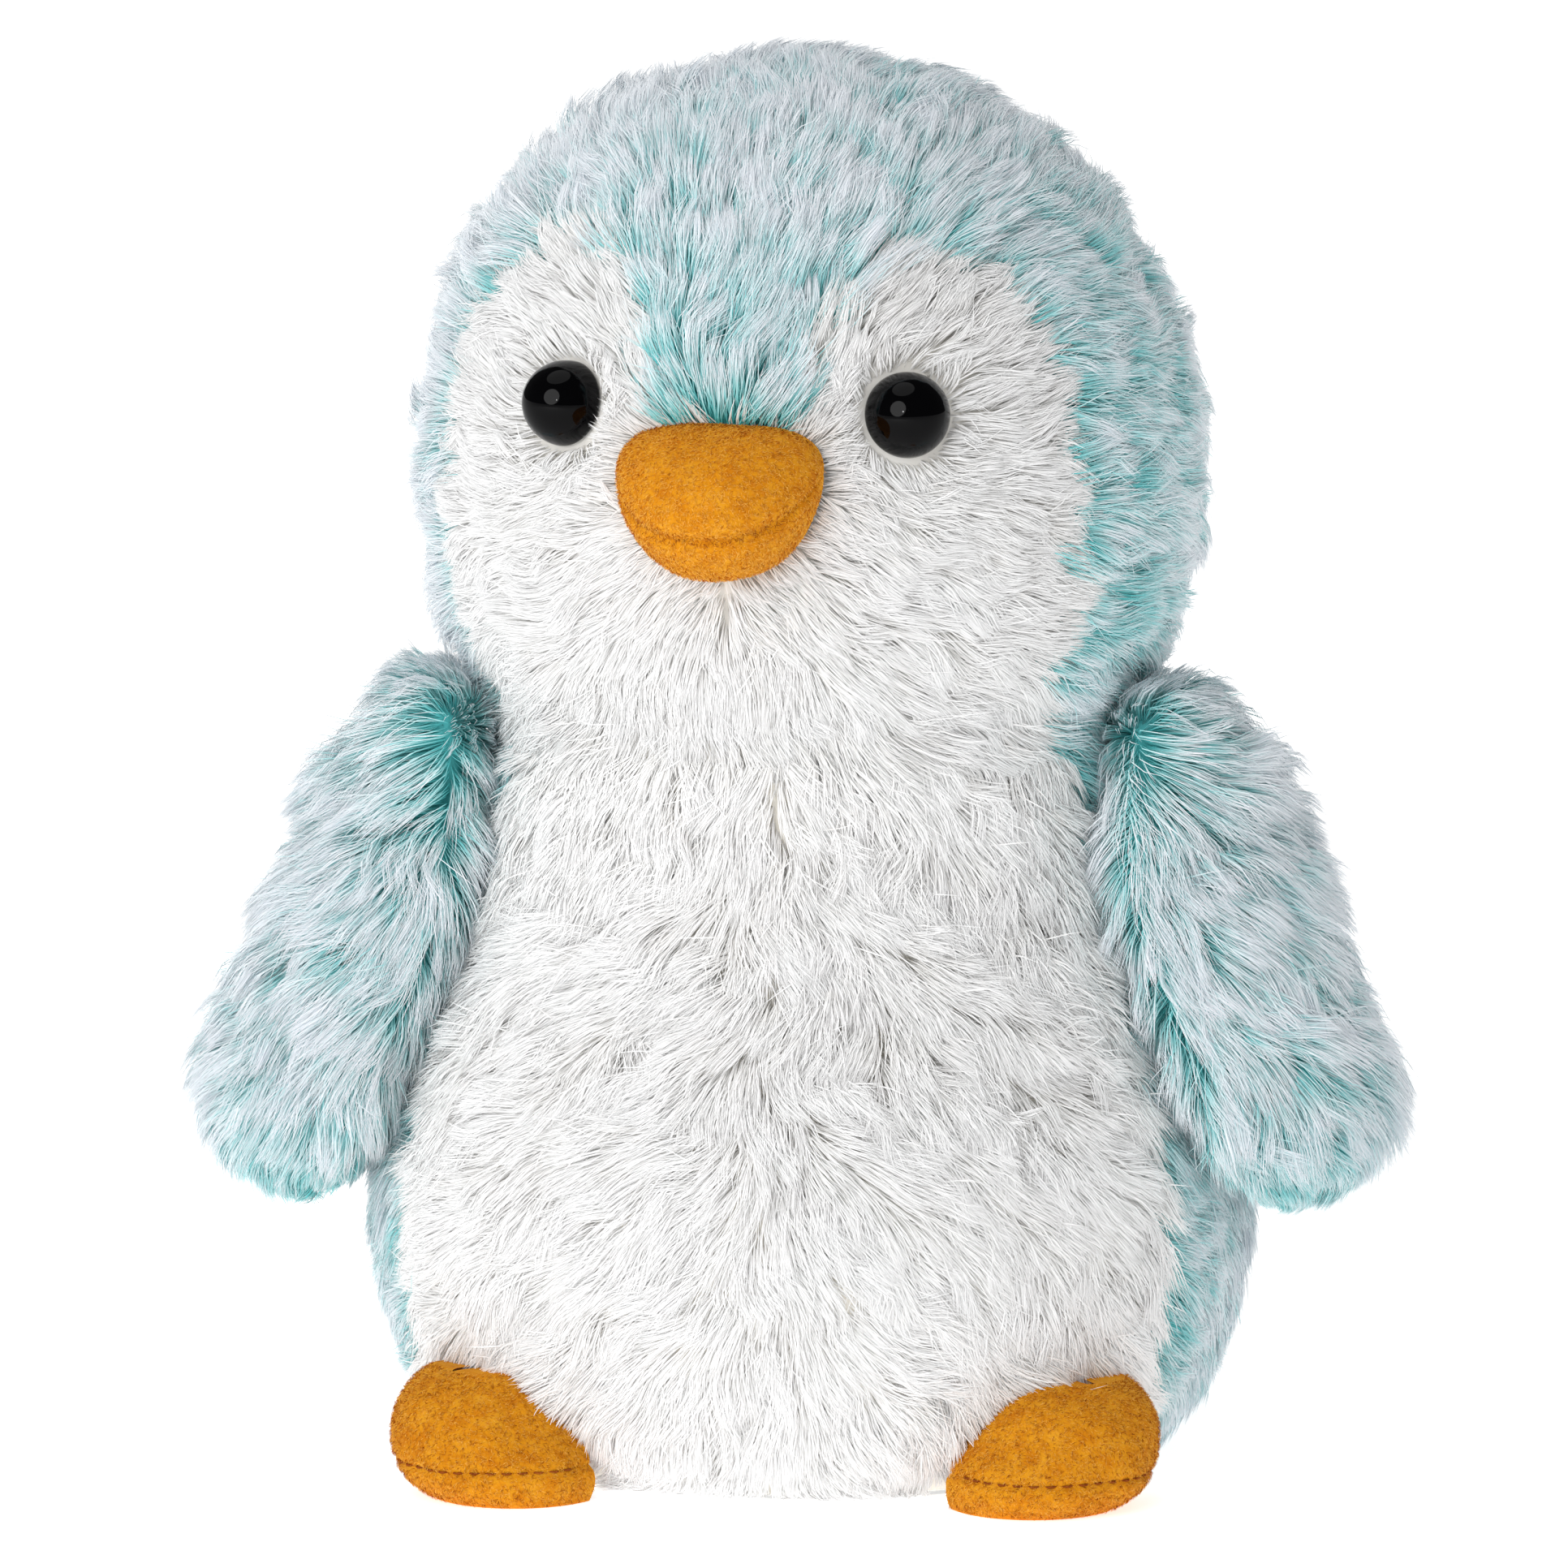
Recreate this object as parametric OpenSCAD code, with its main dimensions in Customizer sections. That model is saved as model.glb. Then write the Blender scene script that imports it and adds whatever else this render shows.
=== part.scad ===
// Standing plush penguin, about 177 mm tall, in millimetres.
// +Z is up, the penguin faces -Y, and its own left wing is on +X.
// The origin is the middle of the base, on the surface it stands on.
//
// Every cover panel is a closed solid as thick as the knit backing and its lying
// pile together. Covers are split where the sewn seams run, and the fillings, the
// pellet pouch and the safety eyes sit inside them.

/* [Head] */
// Width of the head over its lying pile
head_w = 97.6; // [84:0.2:118]
// Height that the head would have if it were not flat at the neck
head_h = 103.2; // [92:0.2:124]
// Height of the head's widest level above the neck
head_rise = 30; // [26:0.5:36]
// Turn of the head towards the right wing at rest, in degrees
head_turn = 7; // [-15:1:15]

/* [Face] */
// Angle from the middle of the face to the seam between white and teal
face_az = 57; // [50:1:64]
// Half angle of the teal peak where it ends above the beak
peak_az = 10.5; // [7:0.5:14]
// Elevation at which the peak ends
peak_end = 12; // [9:1:13]
// Elevation of the tops of the two white patches
patch_top = 39; // [34:1:46]
// Diameter of an eye
eye_d = 10.8; // [8:0.2:13]
// Height of an eye from its seat to its top
eye_h = 6; // [4.5:0.1:8]
// Depth of the eye's seat below the pile
eye_seat = 2.4; // [1.5:0.1:3]
// Angle of each eye from the middle of the face
eye_az = 29; // [26:1:34]
// Elevation of the eyes
eye_el = 14.7; // [12:0.1:20]
// Radius of an eye's post
post_r = 1.6; // [1:0.1:2]
// Radius of the washer that locks an eye
washer_r = 4.8; // [3.6:0.1:5.6]
// Thickness of that washer
washer_t = 1.2; // [0.8:0.1:2]

/* [Beak] */
// Width of the beak
beak_w = 26; // [20:0.2:32]
// Height of the beak
beak_h = 19; // [14:0.2:23]
// How far the beak stands out from the pile
beak_d = 12.5; // [9:0.1:16]
// Height of the beak's middle above the head's widest level
beak_up = 2.2; // [0:0.1:4]
// Drop of the mouth seam below the beak's middle
mouth_drop = 3.6; // [0.5:0.1:4]
// Height of the mouth's corners above the beak's middle
beak_smile = 3.6; // [0:0.1:5]

/* [Body] */
// Height of the body, from the base to the neck
body_h = 95; // [80:0.5:114]
// Width of the body at its widest level over its lying pile
belly_w = 110.6; // [94:0.2:133]
// Height of the body's widest level
belly_z = 30; // [25:0.5:36]
// Width of the flat base
base_w = 81; // [66:0.2:98]
// Angle from the front seam to the seam between belly and back
belly_az = 60; // [50:1:68]

/* [Wings] */
// Thickness of a wing over its lying pile
wing_t = 22.6; // [18:0.2:26]
// Front-to-back width of a wing
wing_chord = 39; // [32:0.2:46]
// Thickness of the rounded shoulder end
shoulder_t = 13; // [11:0.2:14]
// Front-to-back width of the shoulder end
shoulder_chord = 27; // [22:0.2:32]
// Distance of the hinge line below the neck
shoulder_drop = 1; // [0.6:0.1:3]
// Height of a wing's tip above the surface it stands on
tip_z = 32.5; // [28:0.5:36]
// Height of the rounded tip
tip_round = 17; // [14:0.5:22]
// Forward angle of each wing from the side
wing_az = 11; // [6:1:15]
// How far the front and back edges of a wing curl towards the body
wing_curl = 4; // [2:0.5:5]
// Space between a wing and the body
wing_gap = 1; // [0.6:0.1:3]

/* [Feet] */
// Width of a foot
foot_w = 24.4; // [20:0.2:29]
// Height of a foot
foot_h = 15.5; // [12.4:0.1:18.6]
// How far a foot stands out from the body at its top
foot_out = 12; // [9:0.2:15]
// Height of the seam round the sole
sole_z = 4.6; // [3.6:0.1:5.6]
// Angle of each foot from the front
foot_az = 41; // [38:1:50]
// How far the top of a foot leans outwards over its sole
foot_lean = 6; // [0:0.5:7]
// Stitches in the seam of one foot
foot_stitches = 18; // [10:1:24]
// Radius of the thread of those stitches
thread_r = 0.3; // [0.2:0.05:0.4]

/* [Fabric and filling] */
// Thickness of the plush: knit backing and lying pile
plush_t = 4; // [3.2:0.1:5]
// Thickness of the felt
felt_t = 1.2; // [0.8:0.1:1.6]
// Space between a cover and its filling
lay_gap = 0.5; // [0.4:0.05:1]
// Space between two covers that move past each other
joint_gap = 0.4; // [0.3:0.05:1]
// Height of the pellet pouch in the base
pouch_h = 18; // [14:0.5:22]
// Thickness of the pouch's cloth
pouch_t = 0.8; // [0.5:0.1:1.2]
// Radius of a pellet
pellet_r = 2; // [1.6:0.1:2.4]
// Rings of pellets round the middle one
pellet_rings = 3; // [2:1:4]
// Stitches that close the back seam
closing_count = 10; // [6:1:14]

/* [Hidden] */
$fn = 96;

teal = [0.62, 0.82, 0.84];
white = [0.93, 0.93, 0.92];
orange = [0.84, 0.53, 0.10];
filling = [0.96, 0.96, 0.94];
thread = [0.42, 0.20, 0.06];

head_r = head_w / 2;
head_v = head_h / 2;
head_z = body_h + head_rise;
neck_r = head_r * sqrt(1 - pow(head_rise / head_v, 2));
belly_r = belly_w / 2;
base_r = base_w / 2;
// How full the lower body is, and how quickly the chest narrows to the neck
bottom_fullness = 1.4;
chest_slope = 2.7;

// ---------- closed solids from grids of points ----------

// The faces of a strip of quads between rows of n columns, two triangles a quad,
// without the triangles that a pole makes flat
function strip(points, n, rows, first, turned) = [
    for (i = [0 : rows - 2], j = [0 : n - 2], half = [0, 1])
        let (a = first + i * n + j, b = a + 1, c = a + n, d = c + 1,
             f = half == 0 ? [a, b, d] : [a, d, c])
        if (points[f[0]] != points[f[1]] && points[f[1]] != points[f[2]]
            && points[f[2]] != points[f[0]])
            turned ? [f[2], f[1], f[0]] : f
];

// The faces between an edge of the outer grid and the same edge of the inner grid
function wall(points, edge, shift, turned) = [
    for (i = [0 : len(edge) - 2], half = [0, 1])
        let (a = edge[i], b = edge[i + 1], c = a + shift, d = b + shift,
             f = half == 0 ? [a, b, d] : [a, d, c])
        if (points[f[0]] != points[f[1]] && points[f[1]] != points[f[2]]
            && points[f[2]] != points[f[0]])
            turned ? [f[2], f[1], f[0]] : f
];

// A sheet with an outer and an inner surface, each a list of rows of points
module thick_sheet(outer, inner) {
    rows = len(outer);
    n = len(outer[0]);
    count = rows * n;
    points = concat([for (r = outer, p = r) p], [for (r = inner, p = r) p]);
    faces = concat(
        strip(points, n, rows, 0, false),
        strip(points, n, rows, count, true),
        wall(points, [for (j = [0 : n - 1]) j], count, true),
        wall(points, [for (j = [0 : n - 1]) count - n + j], count, false),
        wall(points, [for (i = [0 : rows - 1]) i * n], count, false),
        wall(points, [for (i = [0 : rows - 1]) i * n + n - 1], count, true)
    );
    polyhedron(points, faces);
}

function mirrored(grid) = [for (r = grid) [for (k = [len(r) - 1 : -1 : 0])
    [-r[k].x, r[k].y, r[k].z]]];

// The same sheet on the penguin's left (side 1) or right (side -1)
module sided_sheet(side, outer, inner) {
    if (side > 0) thick_sheet(outer, inner);
    else thick_sheet(mirrored(outer), mirrored(inner));
}

function smooth(t) = let (c = min(max(t, 0), 1)) c * c * (3 - 2 * c);
function quarter(t) = sqrt(max(1 - t * t, 0));

// ---------- head ----------

// A point of the head, inset from its outer surface. az runs from the middle of the
// face towards the left wing, and el is the elevation.
function head_point(az, el, inset) =
    let (r = (head_r - inset) * cos(el))
    [r * sin(az), -r * cos(az), head_z + (head_v - inset) * sin(el)];

// The elevation at which an inset surface meets the flat of the neck
function neck_el(inset) = -asin((head_rise - joint_gap) / (head_v - inset));

function head_radius(z, inset) =
    (head_r - inset) * quarter((z - head_z) / (head_v - inset));

// The two seams beside a white patch: the patch opens from a point at patch_top
patch_mid = peak_end - 2;
patch_az = (face_az + peak_az) / 2;
patch_half = (face_az - peak_az) / 2;
function patch_open(el) =
    quarter(min(max((el - patch_mid) / (patch_top - patch_mid), 0), 1));
function outer_seam(el) = patch_az + patch_half * patch_open(el);
function inner_seam(el) =
    el < peak_end ? 0 : patch_az - patch_half * patch_open(el);

crown_els = [90, 82, 72, 62, 53, 46];
patch_els = [patch_top, patch_top - 0.8, patch_top - 2.5, patch_top - 5,
             patch_top - 9, patch_top - 14, patch_top - 20, peak_end];
jaw_els = [peak_end - 1, peak_end - 6, 0, -8, -16, -24, -30];

// One row of a head panel. The last row, marked by el = -90, lies on the neck's flat.
function head_row(el, from, to, steps, inset) = [
    for (j = [0 : steps])
        head_point(from + (to - from) * j / steps, el == -90 ? neck_el(inset) : el, inset)
];

function hood_grid(inset) = [
    for (el = concat(crown_els, patch_els, jaw_els, [-90]))
        head_row(el, outer_seam(el), 180, 12, inset)
];

function face_grid(inset) = [
    for (el = concat(patch_els, jaw_els, [-90]))
        head_row(el, inner_seam(el), outer_seam(el), 8, inset)
];

function gusset_grid(inset) = [
    for (el = concat(crown_els, patch_els))
        head_row(el, -inner_seam(el), inner_seam(el), 8, inset)
];

module turned_head() {
    rotate([0, 0, -head_turn]) children();
}

module head_hood(side) {
    color(teal) turned_head() sided_sheet(side, hood_grid(0), hood_grid(plush_t));
}

module forehead_gusset() {
    color(teal) turned_head() thick_sheet(gusset_grid(0), gusset_grid(plush_t));
}

// Children drawn about an eye's own axis, with the pile's surface at z = 0
module at_eye(side) {
    normal_el = atan2(head_r * sin(eye_el), head_v * cos(eye_el));
    turned_head()
        translate(head_point(side * eye_az, eye_el, 0))
            rotate([0, 0, side * eye_az])
                rotate([90 - normal_el, 0, 0])
                    children();
}

fit = 0.15;                                 // clearance round an eye and its post
washer_z = plush_t + 0.5;                   // depth of the washer's outer face
post_end = washer_z + washer_t + 3;         // depth of the post's inner end

module face_panel(side) {
    color(white) difference() {
        turned_head() sided_sheet(side, face_grid(0), face_grid(plush_t));
        at_eye(side) {
            translate([0, 0, -eye_seat]) cylinder(r = eye_d / 2 + fit, h = eye_h);
            translate([0, 0, -2 * plush_t]) cylinder(r = post_r + fit, h = 2 * plush_t);
        }
    }
}

module head_stuffing() {
    inset = plush_t + lay_gap;
    low = body_h + joint_gap;
    high = head_z + head_v - inset;
    steps = 24;
    color(filling) difference() {
        rotate_extrude() polygon(concat(
            [[0, low]],
            [for (i = [0 : steps - 1])
                let (z = low + (high - low) * sin(90 * i / steps))
                [head_radius(z, inset), z]],
            [[0, high]]
        ));
        for (side = [-1, 1]) at_eye(side)
            translate([0, 0, -post_end - lay_gap])
                cylinder(r = washer_r + lay_gap, h = post_end);
    }
}

module eye(side) {
    steps = 12;
    color("black") at_eye(side) {
        translate([0, 0, -eye_seat]) rotate_extrude() polygon(concat(
            [[0, 0]],
            [for (i = [0 : steps - 1])
                [eye_d / 2 * cos(90 * i / steps), eye_h * sin(90 * i / steps)]],
            [[0, eye_h]]
        ));
        translate([0, 0, -post_end]) cylinder(r = post_r, h = post_end - eye_seat);
    }
}

module eye_washer(side) {
    color("gainsboro") at_eye(side)
        translate([0, 0, -washer_z - washer_t]) difference() {
            cylinder(r = washer_r, h = washer_t);
            translate([0, 0, -1]) cylinder(r = post_r + fit / 3, h = washer_t + 2);
        }
}

// ---------- beak ----------

// A point of the beak: tau runs from its left corner to its right one, and beta over
// it from the upper rim to the lower one. Its rims follow the head's own surface.
function beak_point(tau, beta, inset, stand) =
    let (u = (beak_w / 2 - inset) * cos(tau),
         smile = beak_smile * pow(abs(cos(tau)), 3 - cos(beta)),
         v = (beak_h / 2 - inset) * cos(beta) * sin(tau) + smile,
         out = (beak_d - inset - stand) * sin(beta) * sin(tau) + stand,
         front = head_r * sqrt(1 - pow(u / head_r, 2) - pow((v + beak_up) / head_v, 2)))
    [u, -(front + lay_gap / 5 + out), head_z + beak_up + v];

function beak_grid(from, to, steps, inset, stand) = [
    for (i = [0 : 16])
        [for (j = [0 : steps])
            beak_point(180 * i / 16, from + (to - from) * j / steps, inset, stand)]
];

mouth = acos(-mouth_drop / (beak_h / 2));

module beak_upper() {
    color(orange) turned_head()
        thick_sheet(beak_grid(0, mouth, 7, 0, 0), beak_grid(0, mouth, 7, felt_t, 0));
}

module beak_lower() {
    color(orange) turned_head()
        thick_sheet(beak_grid(mouth, 180, 5, 0, 0), beak_grid(mouth, 180, 5, felt_t, 0));
}

module beak_stuffing() {
    inset = felt_t + lay_gap;
    stand = 1;
    back = [for (r = beak_grid(0, 180, 10, inset, stand)) [for (j = [0 : 10])
        let (p = r[0], q = r[10]) p + (q - p) * j / 10]];
    color(filling) turned_head()
        thick_sheet(beak_grid(0, 180, 10, inset, stand), back);
}

// ---------- body ----------

// Radius of the body at a height, over its lying pile
function body_r(z) =
    z < belly_z
        ? base_r + (belly_r - base_r) * pow(quarter((belly_z - z) / belly_z), bottom_fullness)
        : neck_r + (belly_r - neck_r)
            * pow(max(cos(90 * (z - belly_z) / (body_h - belly_z)), 0), chest_slope);

body_steps = 22;
// A height between two levels, closer together near the base
function level(low, high, i) = low + (high - low) * pow(i / body_steps, 1.35);

// The outline of the body between two heights, inset from its outer surface
function body_edge(low, high, inset) = [
    for (i = [0 : body_steps]) let (z = level(low, high, i)) [body_r(z) - inset, z]
];

function reversed(list) = [for (i = [len(list) - 1 : -1 : 0]) list[i]];

module body_sector(from, sweep) {
    rotate_extrude(angle = sweep, start = from) polygon(concat(
        body_edge(0, body_h, 0), reversed(body_edge(0, body_h, plush_t))
    ));
}

// The front seam is at -90 degrees, on -Y
module belly_panel(side) {
    color(white) body_sector(side > 0 ? -90 : -90 - belly_az, belly_az);
}

module back_panel(side) {
    color(teal) body_sector(side > 0 ? -90 + belly_az : 90, 180 - belly_az);
}

module base_panel() {
    color(white) cylinder(r = base_r - plush_t - lay_gap, h = plush_t);
}

module body_stuffing() {
    low = plush_t + lay_gap + pouch_h + lay_gap;
    color(filling) rotate_extrude() polygon(concat(
        [[0, low]], body_edge(low, body_h, plush_t + lay_gap), [[0, body_h]]
    ));
}

module pouch_space(inset) {
    low = plush_t + lay_gap + inset;
    high = plush_t + lay_gap + pouch_h - inset;
    rotate_extrude() polygon(concat(
        [[0, low]], body_edge(low, high, plush_t + 2 * lay_gap + inset), [[0, high]]
    ));
}

module pellet_pouch() {
    color(filling) difference() {
        pouch_space(0);
        pouch_space(pouch_t);
    }
}

module pellets() {
    pitch = 2 * pellet_r + 1.2;
    rest_z = plush_t + lay_gap + pouch_t + lay_gap + pellet_r;
    color("ghostwhite") translate([0, 0, rest_z]) {
        sphere(r = pellet_r);
        for (ring = [1 : pellet_rings], k = [0 : 6 * ring - 1])
            rotate([0, 0, 60 * k / ring]) translate([ring * pitch, 0, 0])
                sphere(r = pellet_r);
    }
}

module closing_stitches() {
    stitch_r = 0.15;
    length = 3;
    first_z = 26;
    color(thread) for (i = [0 : closing_count - 1]) {
        z = first_z + 2.4 * i;
        translate([-length / 2, body_r(z) - plush_t - lay_gap / 2, z])
            rotate([0, 90, 0]) cylinder(r = stitch_r, h = length, $fn = 24);
    }
}

// ---------- wings ----------

shoulder_r = shoulder_t / 2;
shoulder_z = body_h - shoulder_drop;
// The hinge line is far enough out that the round shoulder end clears neck and head
hinge_r = neck_r + shoulder_r + wing_gap;
tip_top = tip_z + tip_round;

// How far down a wing a height is: 0 at the hinge line, 1 at the tip
function down(z) = (shoulder_z - z) / (shoulder_z - tip_z);
// The rounding at either end, as a share of the full size
function rounding(z, inset) =
    z > shoulder_z ? quarter((z - shoulder_z) / (shoulder_r - inset))
    : z < tip_top ? quarter((tip_top - z) / (tip_round - inset))
    : 1;

function wing_half_t(z) = shoulder_r + (wing_t / 2 - shoulder_r) * smooth(down(z) / 0.4);
function wing_half_chord(z) =
    (shoulder_chord + (wing_chord - shoulder_chord) * smooth(down(z) / 0.45)) / 2;

// Distance of a wing's middle from the body's axis: beside the body, and straight down
// at the tip unless the body is wider there
function wing_middle(z) =
    let (level = max(z, tip_top), tip_share = z < tip_top ? rounding(z, 0) : 1)
    max(body_r(level) + wing_half_t(level), body_r(z) + wing_half_t(z) * tip_share)
        + wing_gap;

// A point of a wing: phi is 0 on its outer face and 90 on its front edge
function wing_point(side, z, phi, inset) =
    let (round_off = rounding(z, inset),
         middle = wing_middle(z),
         curl = wing_curl * smooth(down(z) / 0.4) * pow(sin(phi), 2) * round_off,
         r = middle + (wing_half_t(z) - inset) * round_off * cos(phi) - curl,
         across = (wing_half_chord(z) - inset) * round_off * sin(phi),
         az = wing_az + across / middle * 180 / PI)
    [r * cos(az), -r * sin(az), z];

wing_steps = 16;
function wing_grid(side, from, to, steps, inset) =
    let (high = shoulder_z + shoulder_r - inset, low = tip_z + inset)
    [for (i = [0 : wing_steps])
        let (z = (high + low) / 2 + (high - low) / 2 * cos(180 * i / wing_steps))
        [for (j = [0 : steps])
            wing_point(side, z, from + (to - from) * j / steps, inset)]];

module wing_outer(side) {
    color(teal) sided_sheet(side,
        wing_grid(side, 90, -90, 10, 0), wing_grid(side, 90, -90, 10, plush_t));
}

module wing_inner(side) {
    color(teal) sided_sheet(side,
        wing_grid(side, 270, 90, 10, 0), wing_grid(side, 270, 90, 10, plush_t));
}

module wing_stuffing(side) {
    inset = plush_t + lay_gap;
    color(filling) sided_sheet(side,
        wing_grid(side, 90, -90, 8, inset), wing_grid(side, 90, 270, 8, inset));
}

// ---------- feet ----------

// The back of a foot keeps clear of the body
foot_hinge_r = body_r(foot_h) + joint_gap;
function foot_back(z) = max(body_r(z) + joint_gap, foot_hinge_r - 4);
// How full a foot is at a height: widest at the sole's seam
function foot_full(z) =
    z > sole_z ? quarter((z - sole_z) / (foot_h - sole_z + 0.4))
    : 1 - 0.3 * pow((sole_z - z) / sole_z, 2);
function toe_r(z) = foot_hinge_r + 0.6 + foot_out * foot_full(z);
function foot_half_w(z) = foot_w / 2 * (0.4 + 0.6 * foot_full(z));

// Sideways shift of a foot at a height: none at the sole's seam
function foot_shift(z) = foot_lean * (z - sole_z) / foot_h;

// A point of a foot's front surface: theta is 0 at the toe and 90 on a side
function foot_point(z, theta, inset) =
    let (back = foot_back(z) + 0.5,
         r = back + (toe_r(z) - back - inset) * cos(theta),
         across = (foot_half_w(z) - inset) * sin(theta) + foot_shift(z),
         az = foot_az + across / foot_back(z) * 180 / PI)
    [r * sin(az), -r * cos(az), z];

// A point of the foot's back, straight behind a point of its front
function foot_back_point(z, theta, inset) =
    let (across = (foot_half_w(z) - inset) * sin(theta) + foot_shift(z),
         az = foot_az + across / foot_back(z) * 180 / PI,
         r = foot_back(z))
    [r * sin(az), -r * cos(az), z];

foot_columns = 14;
function foot_thetas() = [for (j = [0 : foot_columns]) -90 + 180 * j / foot_columns];
foot_rise = foot_h - sole_z;
function foot_levels() = [for (t = [0, 0.22, 0.42, 0.6, 0.75, 0.87, 0.95, 1])
    sole_z + foot_rise * t];

module foot_top(side) {
    color(orange) sided_sheet(side,
        [for (z = reversed(foot_levels())) [for (a = foot_thetas()) foot_point(z, a, 0)]],
        [for (z = reversed(foot_levels())) [for (a = foot_thetas())
            foot_point(min(z, foot_h - felt_t), a, felt_t)]]
    );
}

module foot_sole(side) {
    rim = [sole_z, sole_z * 0.6, sole_z * 0.25];
    low = felt_t * 0.9;
    color(orange) sided_sheet(side,
        concat(
            [for (z = rim) [for (a = foot_thetas()) foot_point(z, a, 0)]],
            [[for (a = foot_thetas()) foot_point(0, a, 0)]],
            [[for (a = foot_thetas()) foot_back_point(0, a, 0)]]
        ),
        concat(
            [for (z = rim) [for (a = foot_thetas()) foot_point(max(z, low), a, felt_t)]],
            [[for (a = foot_thetas()) foot_point(low, a, felt_t * 1.3)]],
            [[for (a = foot_thetas()) foot_back_point(low, a, felt_t * 1.3)]]
        )
    );
}

module foot_stuffing(side) {
    inset = felt_t + lay_gap;
    low = felt_t + lay_gap;
    high = foot_h - felt_t - lay_gap;
    levels = [for (i = [0 : 7]) high - (high - low) * i / 7];
    color(filling) sided_sheet(side,
        [for (z = levels) [for (a = foot_thetas()) foot_point(z, a, inset)]],
        [for (z = levels) [for (a = foot_thetas()) foot_back_point(z, a, inset)]]
    );
}

module foot_stitches(side) {
    reach = 70;
    stitch = 1.4;
    color(thread) for (i = [0 : foot_stitches - 1]) {
        a = -reach + 2 * reach * i / (foot_stitches - 1);
        p = foot_point(sole_z, a, -thread_r - 0.15);
        q = foot_point(sole_z, a + 0.5, -thread_r - 0.15);
        heading = atan2(q.y - p.y, side * (q.x - p.x));
        translate([side * p.x, p.y, p.z]) rotate([0, 0, heading]) rotate([0, 90, 0])
            cylinder(r = thread_r, h = stitch, center = true, $fn = 24);
    }
}

head_hood(1);  // head_hood_left
head_hood(-1);  // head_hood_right
forehead_gusset();
face_panel(1);  // face_panel_left
face_panel(-1);  // face_panel_right
head_stuffing();
beak_upper();
beak_lower();
beak_stuffing();
eye(1);  // eye_left
eye(-1);  // eye_right
eye_washer(1);  // eye_washer_left
eye_washer(-1);  // eye_washer_right
belly_panel(1);  // belly_panel_left
belly_panel(-1);  // belly_panel_right
back_panel(1);  // back_panel_left
back_panel(-1);  // back_panel_right
base_panel();
body_stuffing();
pellet_pouch();
pellets();
closing_stitches();
wing_outer(1);  // wing_outer_left
wing_inner(1);  // wing_inner_left
wing_stuffing(1);  // wing_stuffing_left
wing_outer(-1);  // wing_outer_right
wing_inner(-1);  // wing_inner_right
wing_stuffing(-1);  // wing_stuffing_right
foot_top(1);  // foot_top_left
foot_sole(1);  // foot_sole_left
foot_stuffing(1);  // foot_stuffing_left
foot_stitches(1);  // foot_stitches_left
foot_top(-1);  // foot_top_right
foot_sole(-1);  // foot_sole_right
foot_stuffing(-1);  // foot_stuffing_right
foot_stitches(-1);  // foot_stitches_right
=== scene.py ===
"""Looks for the plush penguin: frosted pile on stuffed covers, felt beak and feet, glossy eyes.

Lengths are in millimetres until a mesh is made, which then holds metres.
"""

import math

import bpy
import numpy as np
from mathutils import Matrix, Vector, kdtree


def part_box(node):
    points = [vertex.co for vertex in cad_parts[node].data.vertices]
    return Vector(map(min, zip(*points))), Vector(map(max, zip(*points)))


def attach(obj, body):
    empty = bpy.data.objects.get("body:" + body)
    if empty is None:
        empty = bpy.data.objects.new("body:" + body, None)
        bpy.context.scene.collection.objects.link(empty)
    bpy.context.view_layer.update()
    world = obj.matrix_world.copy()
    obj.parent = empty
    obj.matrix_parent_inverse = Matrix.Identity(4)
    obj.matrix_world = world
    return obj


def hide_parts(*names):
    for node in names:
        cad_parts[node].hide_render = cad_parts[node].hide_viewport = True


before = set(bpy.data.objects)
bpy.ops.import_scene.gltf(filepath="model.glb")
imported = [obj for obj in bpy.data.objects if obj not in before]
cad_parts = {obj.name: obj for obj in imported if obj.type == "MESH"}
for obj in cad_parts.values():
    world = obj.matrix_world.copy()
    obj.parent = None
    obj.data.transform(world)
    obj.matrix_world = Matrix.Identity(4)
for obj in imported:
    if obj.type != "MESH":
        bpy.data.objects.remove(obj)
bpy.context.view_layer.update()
rng = np.random.default_rng(41)

MM = 0.001


def box_mm(node):
    low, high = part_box(node)
    return np.array(low) / MM, np.array(high) / MM


# ---------------------------------------------------------------- sizes from the CAD frame

SIDES = {"left": 1, "right": -1}
BODY_H = box_mm("belly_panel_left")[1][2]
BELLY_R = box_mm("back_panel_left")[1][0]
HEAD_TURN = math.radians(7)
HEAD_RISE = 30.0  # of the head's middle above the neck
HEAD_Z = BODY_H + HEAD_RISE
HEAD_V = box_mm("head_hood_left")[1][2] - HEAD_Z
HEAD_R = 48.8
NECK_R = HEAD_R * math.sqrt(1 - (HEAD_RISE / HEAD_V) ** 2)
BASE_R = 40.5
BELLY_Z = 30.0  # height of the belly's widest place
FULLNESS, SLOPE = 1.4, 2.7
BELLY_AZ = 60.0
FACE_AZ, PEAK_AZ, PEAK_END, PATCH_TOP = 57.0, 10.5, 12.0, 39.0
EYE_AZ, EYE_EL, EYE_R = 29.0, 14.7, 5.4
BEAK_W, BEAK_H, BEAK_D, BEAK_UP, MOUTH_DROP, BEAK_SMILE = 26.0, 19.0, 12.5, 2.2, 3.6, 3.6
WING_T, WING_CHORD, SHOULDER_T, SHOULDER_CHORD = 22.6, 39.0, 13.0, 27.0
TIP_Z, TIP_ROUND, WING_AZ, WING_CURL, WING_GAP = 32.5, 17.0, 11.0, 4.0, 1.0
SHOULDER_Z = BODY_H - 1.0
FOOT_W, FOOT_H, FOOT_OUT, SOLE_Z, FOOT_AZ, FOOT_LEAN = 24.4, 15.5, 12.0, 4.6, 41.0, 6.0
JOINT_GAP = 0.4
BACKING = 3.3  # depth of the knit backing below the lying pile
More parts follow.
